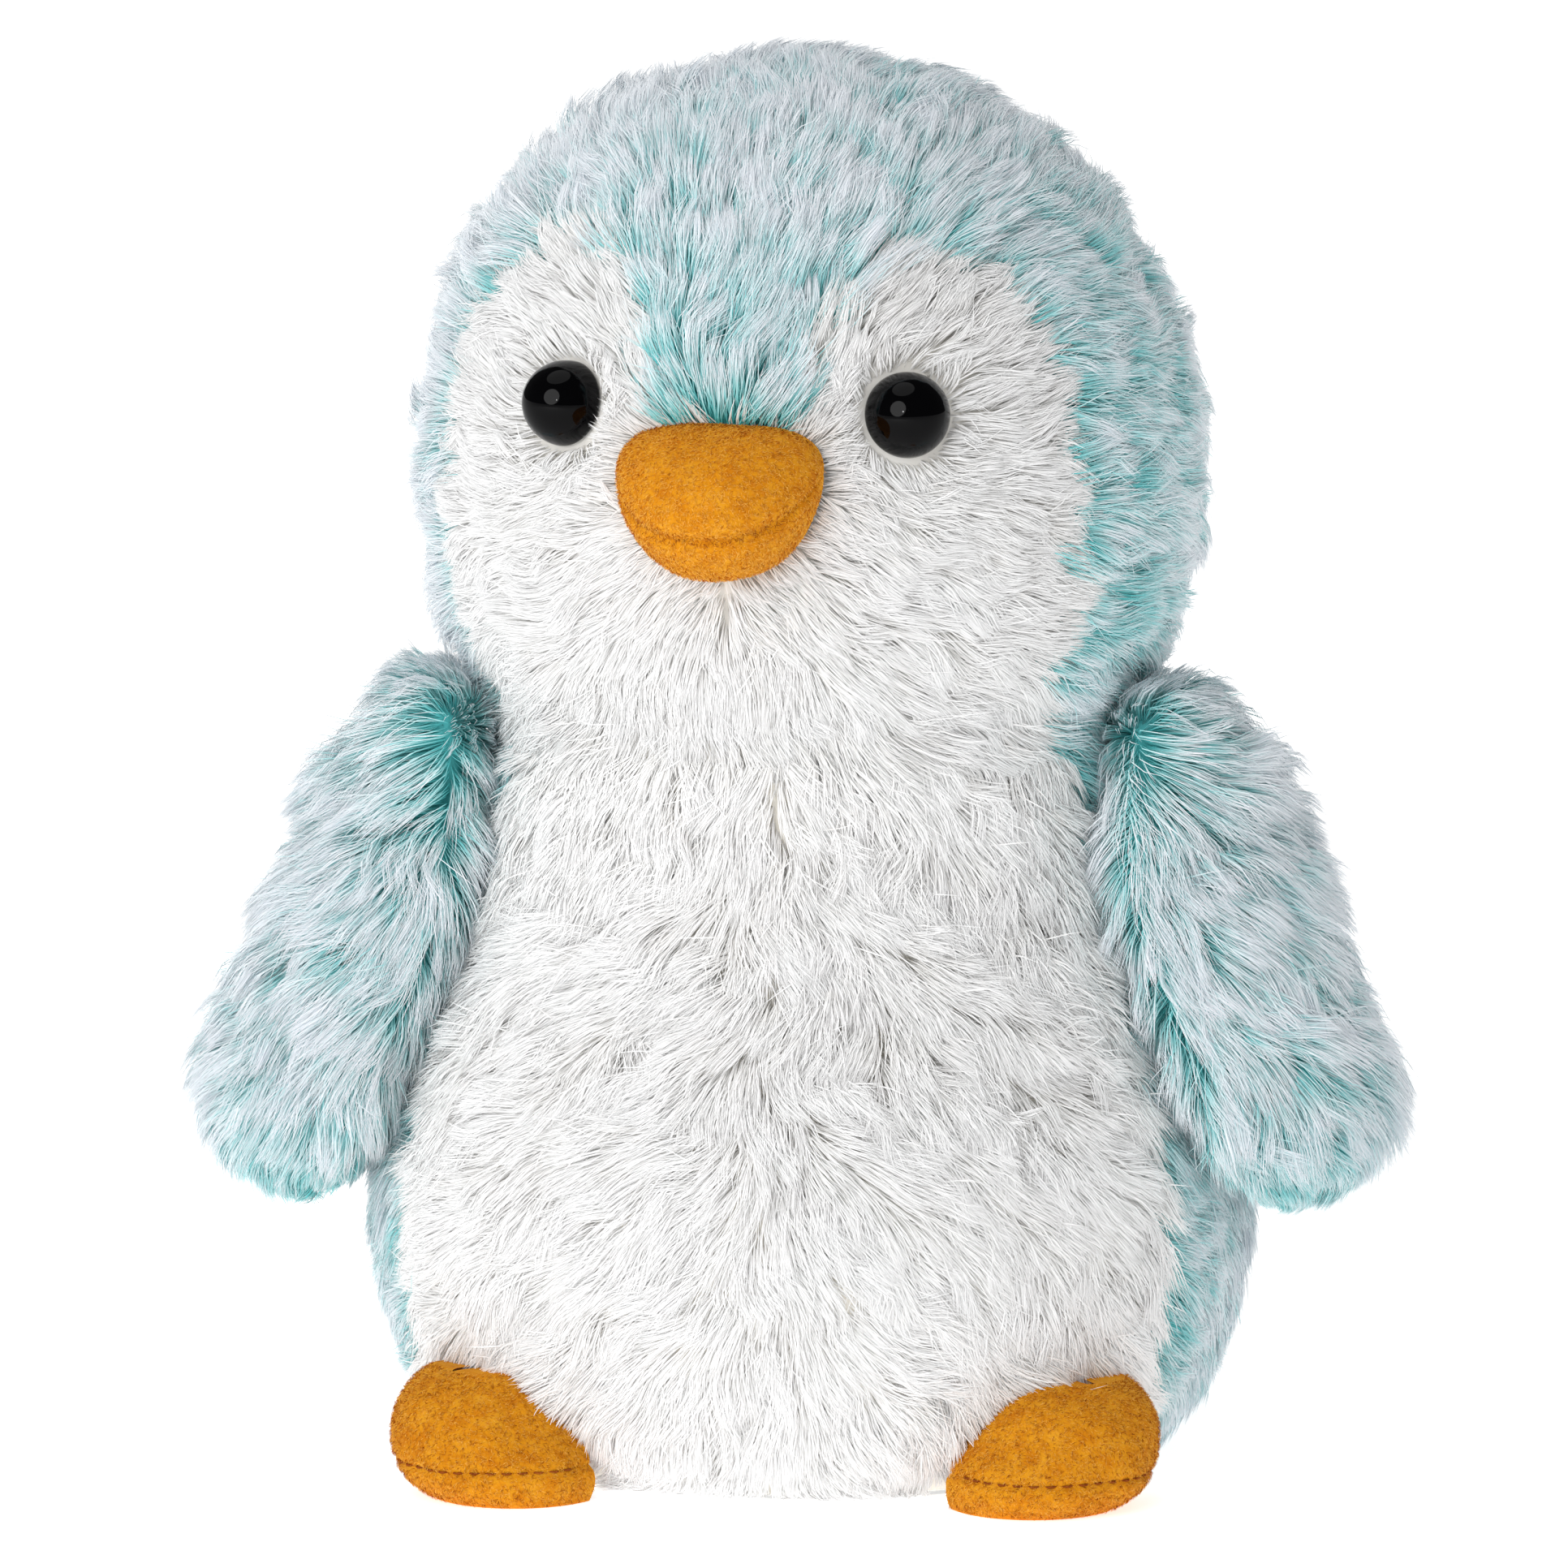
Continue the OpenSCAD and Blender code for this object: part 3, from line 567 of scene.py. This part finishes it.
def head_pile():
    def surface(az, el):
        return head_at(az, el, BACKING)

    az, el = scatter(surface, (-180, 180), (NECK_EL, 89.5), DENSITY,
                     lambda a, e: ~bare(a, e), (120, 70))
    p, n, _, _ = frame_of(surface, az, el, 0.5, 0.2, lambda a, e: np.array([0, 0, HEAD_Z]))
    ball = unit((unturned(p) - [0, 0, HEAD_Z]) / [HEAD_R, HEAD_R, HEAD_V])
    away = turned(unit(ball * (ball @ BEAK_DIR)[:, None] - BEAK_DIR))
    angle = np.degrees(np.arccos(np.clip(ball @ BEAK_DIR, -1, 1)))
    droop = 0.16 * smooth((angle - 25) / 40) * (1 - smooth((el - 25) / 25)) \
        + 0.95 * smooth((angle - 80) / 70)
    flow = flatten_to(away, n) + flatten_to(np.array([0, 0, -1.0]) + 0 * p, n) * droop[:, None]

    rim = beak_share(az, el)
    near_beak = smooth((rim - 0.95) / 0.9)
    blur = rng.normal(0, 1.3, len(az)) + 1.6 * waves(p, 5, 33)
    face = in_face(az + blur, el + rng.normal(0, 1.3, len(az)) + 1.2 * waves(p, 6, 34))
    chin = smooth((-6 - el) / 16) * face
    hem = smooth((NECK_EL + 9 - el) / 9)
    length = 4.3 + 2.2 * near_beak + 2.6 * chin + (1.8 + 1.3 * waves(p, 6, 36)) * hem
    lift = BACKING + 0.1 * near_beak + 0.2 * chin + 2.6 * hem
    for side in SIDES.values():
        q = eye_offset(az, el, side)
        dist = np.linalg.norm(q, axis=-1)
        flow = unit(flow)
        around = 1 - smooth((dist - EYE_R) / 10)
        flow = flow - unit(q) * np.minimum(dot(flow, unit(q)), 0) * around[:, None] ** 0.5
        close = 1 - smooth((dist - EYE_R - 0.3) / 4)
        flow = flow + unit(q) * (1.3 * close)[:, None]
        length = length * (1 - 0.55 * close)
        lift = lift * (1 - 0.16 * close)
    lift = np.where(face, lift - 0.6, lift + 0.5)
    to_right = -HEAD_R * np.cos(np.radians(el)) * np.sin(np.radians(az))
    fuller = smooth((el - 12) / 20) * smooth(to_right / 18)
    lift = lift + 1.6 * fuller * (1 - smooth((el - 50) / 25))
    length = np.where(face, length, length + 2.4)
    # The frosting is heavy on the right side and thin by the left seam and above the beak. Part of
    # this is painted light: the right side, which faces the key lamp, and the crown are made paler,
    # and the left side, turned from the lamp, is made darker as painted shade.
    frost_and_painted_light = 0.26 * smooth((-az - 32) / 18) + 0.08 * smooth((el - 40) / 20) \
        - 0.24 * np.exp(-(((az - 68) / 13) ** 2)) * smooth((46 - el) / 12) \
        - 0.24 * np.exp(-((az / 14) ** 2)) * smooth((36 - el) / 12) \
        - 0.14 * smooth((az - 45) / 25) * (1 - smooth((az - 120) / 40)) * smooth((60 - el) / 20)
    groups = {
        "face_pile_left": (face & (az > 0), FACE_PILE_SHADED, "white_plush", "face_panel_left"),
        "face_pile_right": (face & (az <= 0), FACE_PILE_SHADED, "white_plush", "face_panel_right"),
    }
    top = ~face & (np.abs(az) < inner_seam(np.maximum(el, PEAK_END))) & (el > PEAK_END)
    peak = top | (~face & (el > PATCH_TOP) & (np.abs(az) < PATCH_MID))
    groups["forehead_pile"] = (peak, TEAL_PILE, "teal_plush", "forehead_gusset")
    rest = ~face & ~peak
    groups["hood_pile_left"] = (rest & (az > 0), TEAL_PILE, "teal_plush", "head_hood_left")
    groups["hood_pile_right"] = (rest & (az <= 0), TEAL_PILE, "teal_plush", "head_hood_right")
    for seed, (name, (mask, mat, slot, cad)) in enumerate(groups.items()):
        lines, tint = comb(p[mask], n[mask], flow[mask], length[mask], lift[mask], 100 + 10 * seed,
                           ruffle=0.08 if mat is FACE_PILE_SHADED else 0.17, frost_and_painted_light=frost_and_painted_light[mask])
        clear = np.ones(len(lines), bool)
        for side in SIDES.values():
            eye_mid = head_at(np.array(side * EYE_AZ), np.array(EYE_EL))
            clear &= np.linalg.norm(lines - eye_mid, axis=-1).min(1) > EYE_R + 0.45
        lines, tint, mask = lines[clear], tint[clear], np.flatnonzero(mask)[clear]
        fibres(name, lines, n[mask], tint, mat, "head", slot, [cad],
               1.35 if mat is FACE_PILE_SHADED else 1.0)


def head_backing():
    els = np.concatenate([np.linspace(89.9, PATCH_TOP, 24),
                          np.linspace(PATCH_TOP - 0.4, PEAK_END, 22),
                          np.linspace(PEAK_END - 0.5, NECK_EL - 1.2, 26)])
    centre = np.array([0, 0, HEAD_Z])
    t = np.linspace(0, 1, 29)[None, :]
    for name, side in SIDES.items():
        edge = outer_seam(els)[:, None]
        az = side * (edge + (180 - edge) * t)
        obj = grid_piece(f"hood_backing_{name}", head_at(az, els[:, None] + 0 * t, BACKING),
                         TEAL_BACKING, centre)
        settle(obj, "head", "teal_plush", f"head_hood_{name}", "head_stuffing", fill=0.85)
        low = els[els < PATCH_TOP]
        a, b = inner_seam(low)[:, None], outer_seam(low)[:, None]
        face = head_at(side * (a + (b - a) * t), low[:, None] + 0 * t, BACKING - FACE_LIFT)
        obj = grid_piece(f"face_backing_{name}", face, FACE_BACKING_SHADED, centre)
        settle(obj, "head", "white_plush", f"face_panel_{name}", f"eye_washer_{name}", fill=0.85)
    high = els[els >= PEAK_END]
    a = inner_seam(high)[:, None]
    obj = grid_piece("forehead_backing", head_at(-a + 2 * a * t, high[:, None] + 0 * t, BACKING),
                     TEAL_BACKING, centre)
    settle(obj, "head", "teal_plush", "forehead_gusset", fill=0.85)


# ---------------------------------------------------------------- body


def foot_covers(z, az):
    """True where a foot is sewn against the body."""
    half = np.degrees((FOOT_W / 2 * (0.4 + 0.6 * foot_full(z)) + 0.2) / np.maximum(body_r(z), 1))
    middle = FOOT_AZ + np.degrees(foot_shift(z) / np.maximum(body_r(z), 1))
    return (z < FOOT_H - 1.5) & (np.abs(np.abs(az) - middle) < half)


def body_pile():
    def surface(z, az):
        return body_at(z, az, BACKING)

    z, az = scatter(surface, (1.2, BODY_H - 0.3), (-180, 180), DENSITY,
                    lambda zz, aa: ~foot_covers(zz, aa), (70, 120))
    p, n, _, _ = frame_of(surface, z, az, 0.3, 0.5, lambda zz, aa: np.stack(
        [0 * zz, 0 * zz, zz], -1))
    a = np.radians(az)
    across = np.stack([np.cos(a), np.sin(a), 0 * a], -1)  # towards larger az
    down = np.array([0, 0, -1.0]) + 0 * p
    x = body_r(z) * np.sin(a)
    front = np.abs(az) < BELLY_AZ
    # The belly parts at the front seam, more to the right wing's side than to the left
    part = smooth(np.abs(x) / 9) * np.sign(x) * np.where(x < 0, 1.05, 0.62)
    part = part * (0.35 + 0.65 * smooth((88 - z) / 40))
    seam = np.radians(np.abs(az) - BELLY_AZ) * body_r(z)  # mm behind the side seam
    back = np.sign(az) * (0.25 + 0.95 * np.exp(-np.maximum(seam, 0) / 16)) \
        * (1 - smooth((np.abs(az) - 150) / 28))
    flow = down + across * np.where(front, part, back)[:, None]
    length = np.full(len(z), 8.6)
    lift = BACKING + 1.5 - 1.5 * smooth((58 - z) / 30)
    fringe = smooth((14 - z) / 10)
    length = length * (1 - 0.35 * fringe)
    lift = lift * (1 - 0.15 * fringe)
    over_foot = np.exp(-(((np.abs(az) - FOOT_AZ) / 15) ** 2) - ((z - FOOT_H) / 4) ** 2)
    lift = lift + 3.2 * over_foot
    collar = smooth((z - BODY_H + 6) / 6)
    lift = lift - 1.2 * collar
    # Darker teal behind the side seams: partly the fur's own deeper teal there, partly painted
    # shade where the body turns from the lamps
    frost_and_painted_light = np.where(front, 0, -0.4 * np.exp(-np.maximum(seam, 0) / 22))
    for seed, (name, mask, mat, slot, cad) in enumerate((
            ("belly_pile_left", front & (az > 0), WHITE_PILE, "white_plush", "belly_panel_left"),
            ("belly_pile_right", front & (az <= 0), WHITE_PILE, "white_plush", "belly_panel_right"),
            ("back_pile_left", ~front & (az > 0), TEAL_PILE, "teal_plush", "back_panel_left"),
            ("back_pile_right", ~front & (az <= 0), TEAL_PILE, "teal_plush", "back_panel_right"))):
        lines, tint = comb(p[mask], n[mask], flow[mask], length[mask], lift[mask], 300 + 10 * seed,
                           gather=0.34, tousle=0.36, ruffle=0.08, curl=1.7, frost_and_painted_light=frost_and_painted_light[mask])
        keep_above_floor(lines, n[mask])
        fibres(name, lines, n[mask], tint, mat, "torso", slot, [cad],
               1.5 if mat is WHITE_PILE else 1.0)


def keep_above_floor(lines, n):
    """Fibres that would pass through the surface the toy stands on splay out along it."""
    floor = 0.35 + 0.5 * rng.random(len(lines))
    for k in range(1, 4):
        deep = np.maximum(floor - lines[:, k, 2], 0)
        flat = n.copy()
        flat[:, 2] = 0
        lines[:, k] += unit(flat) * (0.35 * deep)[:, None]
        lines[:, k, 2] += deep


def body_backing():
    zs = np.concatenate([np.linspace(0.6, 6, 10), np.linspace(7, BODY_H + 0.3, 54)])
    centre = np.array([0, 0, 50.0])
    for name, side in SIDES.items():
        az = side * np.linspace(0, BELLY_AZ, 25)[None, :]
        belly = body_at(zs[:, None], az, BACKING - BELLY_LIFT)
        obj = grid_piece(f"belly_backing_{name}", belly, WHITE_BACKING, centre)
        settle(obj, "torso", "white_plush", f"belly_panel_{name}", "body_stuffing", fill=0.8)
        az = side * np.linspace(BELLY_AZ, 180, 45)[None, :]
        obj = grid_piece(f"back_backing_{name}", body_at(zs[:, None], az, BACKING),
                         TEAL_BACKING, centre)
        settle(obj, "torso", "teal_plush", f"back_panel_{name}", "closing_stitches", fill=0.8)
    rings = np.linspace(0.4, BASE_R - BACKING, 16)[:, None]
    turns = np.radians(np.linspace(0, 360, 97))[None, :]
    disc = np.stack([rings * np.cos(turns), rings * np.sin(turns), 0 * rings * turns], -1)
    disc[..., 2] = 0.5 + 0.12 * waves(disc, 9, 5)
    obj = grid_piece("base_cloth", disc, WHITE_BACKING, np.array([0, 0, 20.0]))
    settle(obj, "torso", "white_plush", "base_panel", "pellet_pouch", "pellets")


# ---------------------------------------------------------------- wings


# Pile taken off a wing's tip and its top, frosting at the top, and pile added halfway
WING_BRUSH = {"left": (3.0, 6.2, 0.16, 0.0), "right": (1.3, 4.2, 0.04, 1.8)}


def wing_pile(name, side):
    def surface(z, phi):
        return wing_at(side, z, phi, BACKING)

    low, high = TIP_Z + BACKING + 0.05, SHOULDER_Z + SHOULDER_T / 2 - BACKING - 0.05
    z, phi = scatter(surface, (low, high), (-90, 270), DENSITY, None, (70, 70))
    p, n, tz, tphi = frame_of(surface, z, phi, 0.02, 0.5, lambda zz, ff: (
        surface(zz, 0 * ff) + surface(zz, 0 * ff + 180)) / 2)
    outer = phi < 90
    d = wing_down(z)
    # The pile lies away from the front seam, and fans out from the armpit
    away = tphi * np.where(outer, -1, 1)[:, None]
    spread = np.where(outer, 0.85 - 0.62 * smooth(d / 0.7), 0.35)
    edge = np.minimum(np.abs(phi - 90), 40) / 40
    spread = spread * (0.6 + 0.4 * edge)
    cap = smooth((z - SHOULDER_Z + 5) / 7)
    outward = p * [1, 1, 0]
    flow = unit(-tz) * (1 - 0.8 * cap)[:, None] + away * spread[:, None] \
        + flatten_to(unit(outward), n) * (1.4 * cap)[:, None]
    length = 10.6 - 6.0 * smooth((d - 0.70) / 0.28) - 4.4 * cap
    lift = np.where(outer, BACKING + 1.6 + 4.2 * np.exp(-(((z - 90) / 9) ** 2)), BACKING + 0.4)
    # The two wings are brushed a little differently at the tip, the shoulder and halfway
    tip_thin, top_thin, top_frost, fuller = WING_BRUSH[name]
    lift = lift - tip_thin * smooth((d - 0.65) / 0.3)
    lift = lift - np.where(outer, top_thin, 0.8) * smooth((z - SHOULDER_Z + 2) / 8)
    lift = np.maximum(lift, 0.9)
    lift = lift + np.where(outer, fuller * np.exp(-(((z - 62) / 9) ** 2)), 0)
    frost_and_painted_light = -0.75 * smooth((d - 0.66) / 0.3) + top_frost * smooth((0.35 - d) / 0.3)
    length = np.where(outer, length, length * 0.85)
    for seed, (panel, mask) in enumerate((("outer", outer), ("inner", ~outer))):
        lines, tint = comb(p[mask], n[mask], flow[mask], length[mask], lift[mask],
                           500 + 10 * seed + (50 if side > 0 else 0), ruffle=0.14,
                           frost_and_painted_light=frost_and_painted_light[mask])
        fibres(f"wing_{panel}_pile_{name}", lines, n[mask], tint, TEAL_PILE, f"wing_{name}",
               "teal_plush", [f"wing_{panel}_{name}"])


def wing_backing(name, side):
    low, high = TIP_Z + BACKING + 0.01, SHOULDER_Z + SHOULDER_T / 2 - BACKING - 0.01
    zs = (high + low) / 2 - (high - low) / 2 * np.cos(np.pi * np.linspace(0, 1, 50))
    mid = wing_at(side, np.array([60.0, 60.0]), np.array([0.0, 180.0])).mean(0)
    for panel, span in (("outer", (-90, 90)), ("inner", (90, 270))):
        phi = np.linspace(*span, 29)[None, :]
        obj = grid_piece(f"wing_{panel}_backing_{name}", wing_at(side, zs[:, None], phi, BACKING),
                         TEAL_BACKING, mid)
        settle(obj, f"wing_{name}", "teal_plush", f"wing_{panel}_{name}",
               f"wing_stuffing_{name}", fill=0.7)


# ---------------------------------------------------------------- felt


def felt_fuzz(name, surface, ranges, density, centre, body, nodes, seed, steps, shade=None):
    """Short nap on a felt surface."""
    u, v = scatter(surface, *ranges, density, None, (60, 60))
    p, n, _, _ = frame_of(surface, u, v, *steps, centre)
    r = np.random.default_rng(seed)
    flow = flatten_to(r.normal(size=p.shape), n)
    flow = flow + flatten_to(np.array([0.3, 0, -1.0]) + 0 * p, n) * 0.8
    flow = flatten_to(flow, n)
    count = len(p)
    length, lift = r.uniform(0.35, 0.85, count), r.uniform(0.10, 0.42, count)
    lines = np.empty((count, 4, 3))
    for k, s in enumerate(RISE):
        lines[:, k] = p - n * 0.05 + n * (lift * (1 - (1 - s) ** 2))[:, None] \
            + flow * (length * s)[:, None]
    lines[:, :, 2] = np.maximum(lines[:, :, 2], 0.05)
    tint = r.uniform(0.1, 0.97, count)
    if shade is not None:
        tint = np.clip(tint - shade(u, v) * r.uniform(0.3, 1.0, count), 0.02, 0.97)
    fibres(name, lines, n, tint, FUZZ, body, "orange_felt", nodes, thickness=0.5)


def beak():
    mouth = math.degrees(math.acos(-MOUTH_DROP / (BEAK_H / 2)))

    def surface(tau, beta):
        # The two felt halves turn in where they meet along the mouth, and lie in soft lumps
        p = beak_at(tau, beta)
        fade = np.sin(np.radians(tau))
        crease = np.exp(-(((beta - mouth) / 7.5) ** 2)) * 1.1 * fade
        lump = 0.16 * waves(p, 9, 77) * fade
        out = unit(p - turned(np.array([0, -HEAD_R + 4.0, HEAD_Z + BEAK_UP])))
        return p + out * (lump - crease)[..., None]

    taus = np.linspace(0.5, 179.5, 73)[:, None]
    centre = turned(np.array([0, -HEAD_R + 3.0, HEAD_Z + BEAK_UP]))
    for label, span, cads in (("beak_upper_felt", (-14, mouth), ("beak_upper", "beak_stuffing")),
                              ("beak_lower_felt", (mouth, 194), ("beak_lower",))):
        betas = np.linspace(*span, 49)[None, :]
        obj = grid_piece(label, surface(taus, betas), FELT, centre)
        settle(obj, "head", "orange_felt", *cads, fill=0.9)

    def shade(tau, beta):
        # Darker nap along the mouth, painted shade in its crease, and round the rim, partly the
        # felt's dark hairs and partly painted shade where it meets the pile
        rim = np.exp(-((np.minimum(beta, 60) / 9) ** 2)) * 0.9
        return np.exp(-(((beta - mouth) / 5) ** 2)) * 0.6 + rim

    felt_fuzz("beak_nap", surface, ((3, 177), (1, 178)), 16.0, lambda a, b: centre, "head",
              ["beak_upper", "beak_lower"], 900, (0.4, 0.4), shade)


def foot_outward(side, p, z, theta):
    """Directions from the middle of a foot to its points p."""
    return unit(p - foot_at(side, 0 * z + 6.5, 0 * theta, FOOT_OUT))


def foot(name, side):
    def surface(z, theta):
        z = np.asarray(z, float)
        p = foot_at(side, z, theta)
        out = foot_outward(side, p, z, theta)
        groove = np.exp(-(((z - SOLE_Z) / 0.42) ** 2)) * 0.5
        lump = 0.18 * waves(p, 10, 61 + side)
        return p + out * (lump * smooth(z / 3) - groove)[..., None]

    rise = np.concatenate([np.linspace(0, SOLE_Z, 14), SOLE_Z + (FOOT_H - SOLE_Z)
                           * np.sin(np.linspace(0.04, math.pi / 2, 26))])
    theta = np.linspace(-90, 90, 57)[None, :]
    shell = surface(rise[:, None], theta)
    # Closed over the top and under the sole, towards the line where the foot is sewn on
    top = shell[-1] * 0.55 + shell[-1][::-1] * 0.45
    heel = shell[0][[0, -1]].mean(0)
    sole = np.stack([shell[0] * (1 - t) + heel * t for t in (0.97, 0.66, 0.33)])
    sole[:, :, 2] = 0.08
    grid = np.concatenate([sole, shell, top[None]])
    centre = shell.reshape(-1, 3).mean(0)
    obj = grid_piece(f"foot_felt_{name}", grid, FELT, centre)
    settle(obj, f"foot_{name}", "orange_felt", f"foot_top_{name}", f"foot_sole_{name}",
           f"foot_stuffing_{name}", fill=0.85)
    # The nap is darker in diagonal rows: painted shade standing in for the relief of the felt's
    # ribs
    felt_fuzz(f"foot_nap_{name}", surface, ((0.3, FOOT_H - 0.05), (-89, 89)), 14.0,
              lambda a, b: centre, f"foot_{name}", [f"foot_top_{name}", f"foot_sole_{name}"],
              910 + side, (0.05, 0.4),
              lambda z, theta: 0.34 * (0.5 + 0.5 * np.sin(2 * np.pi * (z / 1.15 + theta / 17))))
    stitches(name, side, surface)


def stitches(name, side, surface):
    """Twisted thread dipping in and out along the seam above the sole."""
    count, sections, ring = 20, 13, 8
    points, faces = [], []
    for k in range(count):
        a = -74 + 148 * k / (count - 1)
        t = np.linspace(-2.6, 2.6, sections)
        line = surface(np.full(sections, SOLE_Z), a + t)
        out = foot_outward(side, line, t, t)
        hump = 0.42 * (1 - (t / 2.6) ** 2) - 0.12
        line = line + out * hump[:, None]
        tangent = unit(np.gradient(line, axis=0))
        u = unit(np.cross(tangent, out))
        v = np.cross(tangent, u)
        base = k * sections * ring
        turns = np.linspace(0, 2 * math.pi, ring, endpoint=False)
        twist = np.linspace(0, 2.5 * math.pi, sections)
        ang = turns[None, :] + twist[:, None]
        taper = 1 - 0.5 * (np.abs(t) / 2.6) ** 4
        r = 0.145 * (1 + 0.22 * np.cos(2 * turns))[None, :] * taper[:, None]
        tube = line[:, None] + (u[:, None] * np.cos(ang)[..., None]
                                + v[:, None] * np.sin(ang)[..., None]) * r[..., None]
        points.append(tube.reshape(-1, 3))
        for i in range(sections - 1):
            for j in range(ring):
                q = [base + i * ring + j, base + i * ring + (j + 1) % ring,
                     base + (i + 1) * ring + (j + 1) % ring, base + (i + 1) * ring + j]
                faces.append(q)
    obj = new_mesh(f"foot_thread_{name}", np.concatenate(points), faces, THREAD)
    settle(obj, f"foot_{name}", "thread", f"foot_stitches_{name}")


# ---------------------------------------------------------------- eyes


def eye(name, side):
    """A domed plastic eye on its post's axis, with its rim sunk in the pile."""
    el = math.radians(EYE_EL)
    normal_el = math.atan2(HEAD_R * math.sin(el), HEAD_V * math.cos(el))
    az = math.radians(side * EYE_AZ)
    axis = turned(np.array([math.sin(az) * math.cos(normal_el), -math.cos(az) * math.cos(normal_el),
                            math.sin(normal_el)]))
    seat = head_at(np.array(side * EYE_AZ), np.array(EYE_EL)) - axis * EYE_SINK
    u = unit(np.cross(axis, [0, 0, 1.0]))
    v = np.cross(axis, u)
    t = np.linspace(0, math.pi / 2, 33)
    profile = np.stack([EYE_R * np.cos(t), EYE_DOME * np.sin(t)], -1)
    profile = np.concatenate([[[0.001, -0.6], [EYE_R - 0.8, -0.6], [EYE_R - 0.2, -0.4], [EYE_R, 0]],
                              profile[1:]])
    profile[-1, 0] = 0.001
    turns = np.linspace(0, 2 * math.pi, 97)
    ring = u[None, :] * np.cos(turns)[:, None] + v[None, :] * np.sin(turns)[:, None]
    grid = seat + profile[:, None, 1:2] * axis + profile[:, None, 0:1] * ring[None]
    obj = grid_piece(f"eye_dome_{name}", grid, EYE, seat)
    settle(obj, "head", "eye_plastic", f"eye_{name}")


head_backing()
head_pile()
body_backing()
body_pile()
beak()
for side_name, side_sign in SIDES.items():
    wing_backing(side_name, side_sign)
    wing_pile(side_name, side_sign)
    foot(side_name, side_sign)
    eye(side_name, side_sign)

# ---------------------------------------------------------------- studio

VIEW_AZ, VIEW_EL, DISTANCE = math.radians(6.8), math.radians(9), 3.0
TARGET_RIGHT, TARGET_UP = -3.46, 84.3
MM_PER_PIXEL = 0.1025
FRAME_PX = 1932
SENSOR = 36
FLOOR_HALF = 15000

scene = bpy.context.scene
floor_mat, floor_nodes, floor_bsdf = principled(
    "floor_white", Base_Color=(0.9, 0.9, 0.9, 1), Roughness=1, Specular_IOR_Level=0,
    Emission_Color=(1, 1, 1, 1))
corners = [(x * FLOOR_HALF, y * FLOOR_HALF, 0) for x, y in ((-1, -1), (1, -1), (1, 1), (-1, 1))]
floor = new_mesh("studio_floor", corners, [(0, 1, 2, 3)], floor_mat)

world = bpy.data.worlds.new("studio")
scene.world = world
world.use_nodes = True
sky = world.node_tree.nodes["Background"]
sky.inputs["Color"].default_value = (1, 1, 1, 1)


def fill_light(nt, socket, full, mirrored):
    """A studio is dark beyond its lamps: polished things mirror less than cloth gathers."""
    rays = node(nt, "ShaderNodeLightPath")
    strength = node(nt, "ShaderNodeMath", operation="MULTIPLY_ADD")
    strength.inputs[1].default_value = mirrored - full
    strength.inputs[2].default_value = full
    nt.links.new(rays.outputs["Is Glossy Ray"], strength.inputs[0])
    nt.links.new(strength.outputs[0], socket)


fill_light(world.node_tree, sky.inputs["Strength"], 0.56, 0.05)
fill_light(floor_nodes, floor_bsdf.inputs["Emission Strength"], 0.66, 0.0)


def softbox(name, place, size, power, target=(0, 0, 0.09)):
    light = bpy.data.lights.new(name, "AREA")
    light.shape = "DISK"
    light.size = size
    light.energy = power
    obj = bpy.data.objects.new(name, light)
    scene.collection.objects.link(obj)
    obj.location = place
    obj.rotation_euler = (Vector(target) - Vector(place)).to_track_quat("-Z", "Y").to_euler()


softbox("key", (-0.46, -0.98, 0.56), 0.9, 5.7)
softbox("top", (-0.2, -0.1, 1.25), 1.0, 1.9)
softbox("glint", (-0.18, -1.1, 0.42), 0.05, 0.35)

camera = bpy.data.objects.new("camera", bpy.data.cameras.new("camera"))
scene.collection.objects.link(camera)
right = Vector((math.cos(VIEW_AZ), math.sin(VIEW_AZ), 0))
back = Vector((math.sin(VIEW_AZ) * math.cos(VIEW_EL), -math.cos(VIEW_AZ) * math.cos(VIEW_EL),
               math.sin(VIEW_EL)))
target = right * (TARGET_RIGHT * MM) + Vector((0, 0, TARGET_UP * MM))
camera.location = target + back * DISTANCE
camera.rotation_euler = (target - camera.location).to_track_quat("-Z", "Y").to_euler()
camera.data.sensor_width = SENSOR
camera.data.lens = SENSOR * DISTANCE / (MM_PER_PIXEL * MM * FRAME_PX)
camera.data.clip_end = 50
scene.camera = camera
scene.view_settings.view_transform = "Standard"
scene.cycles.max_bounces = 16
scene.cycles.diffuse_bounces = 12
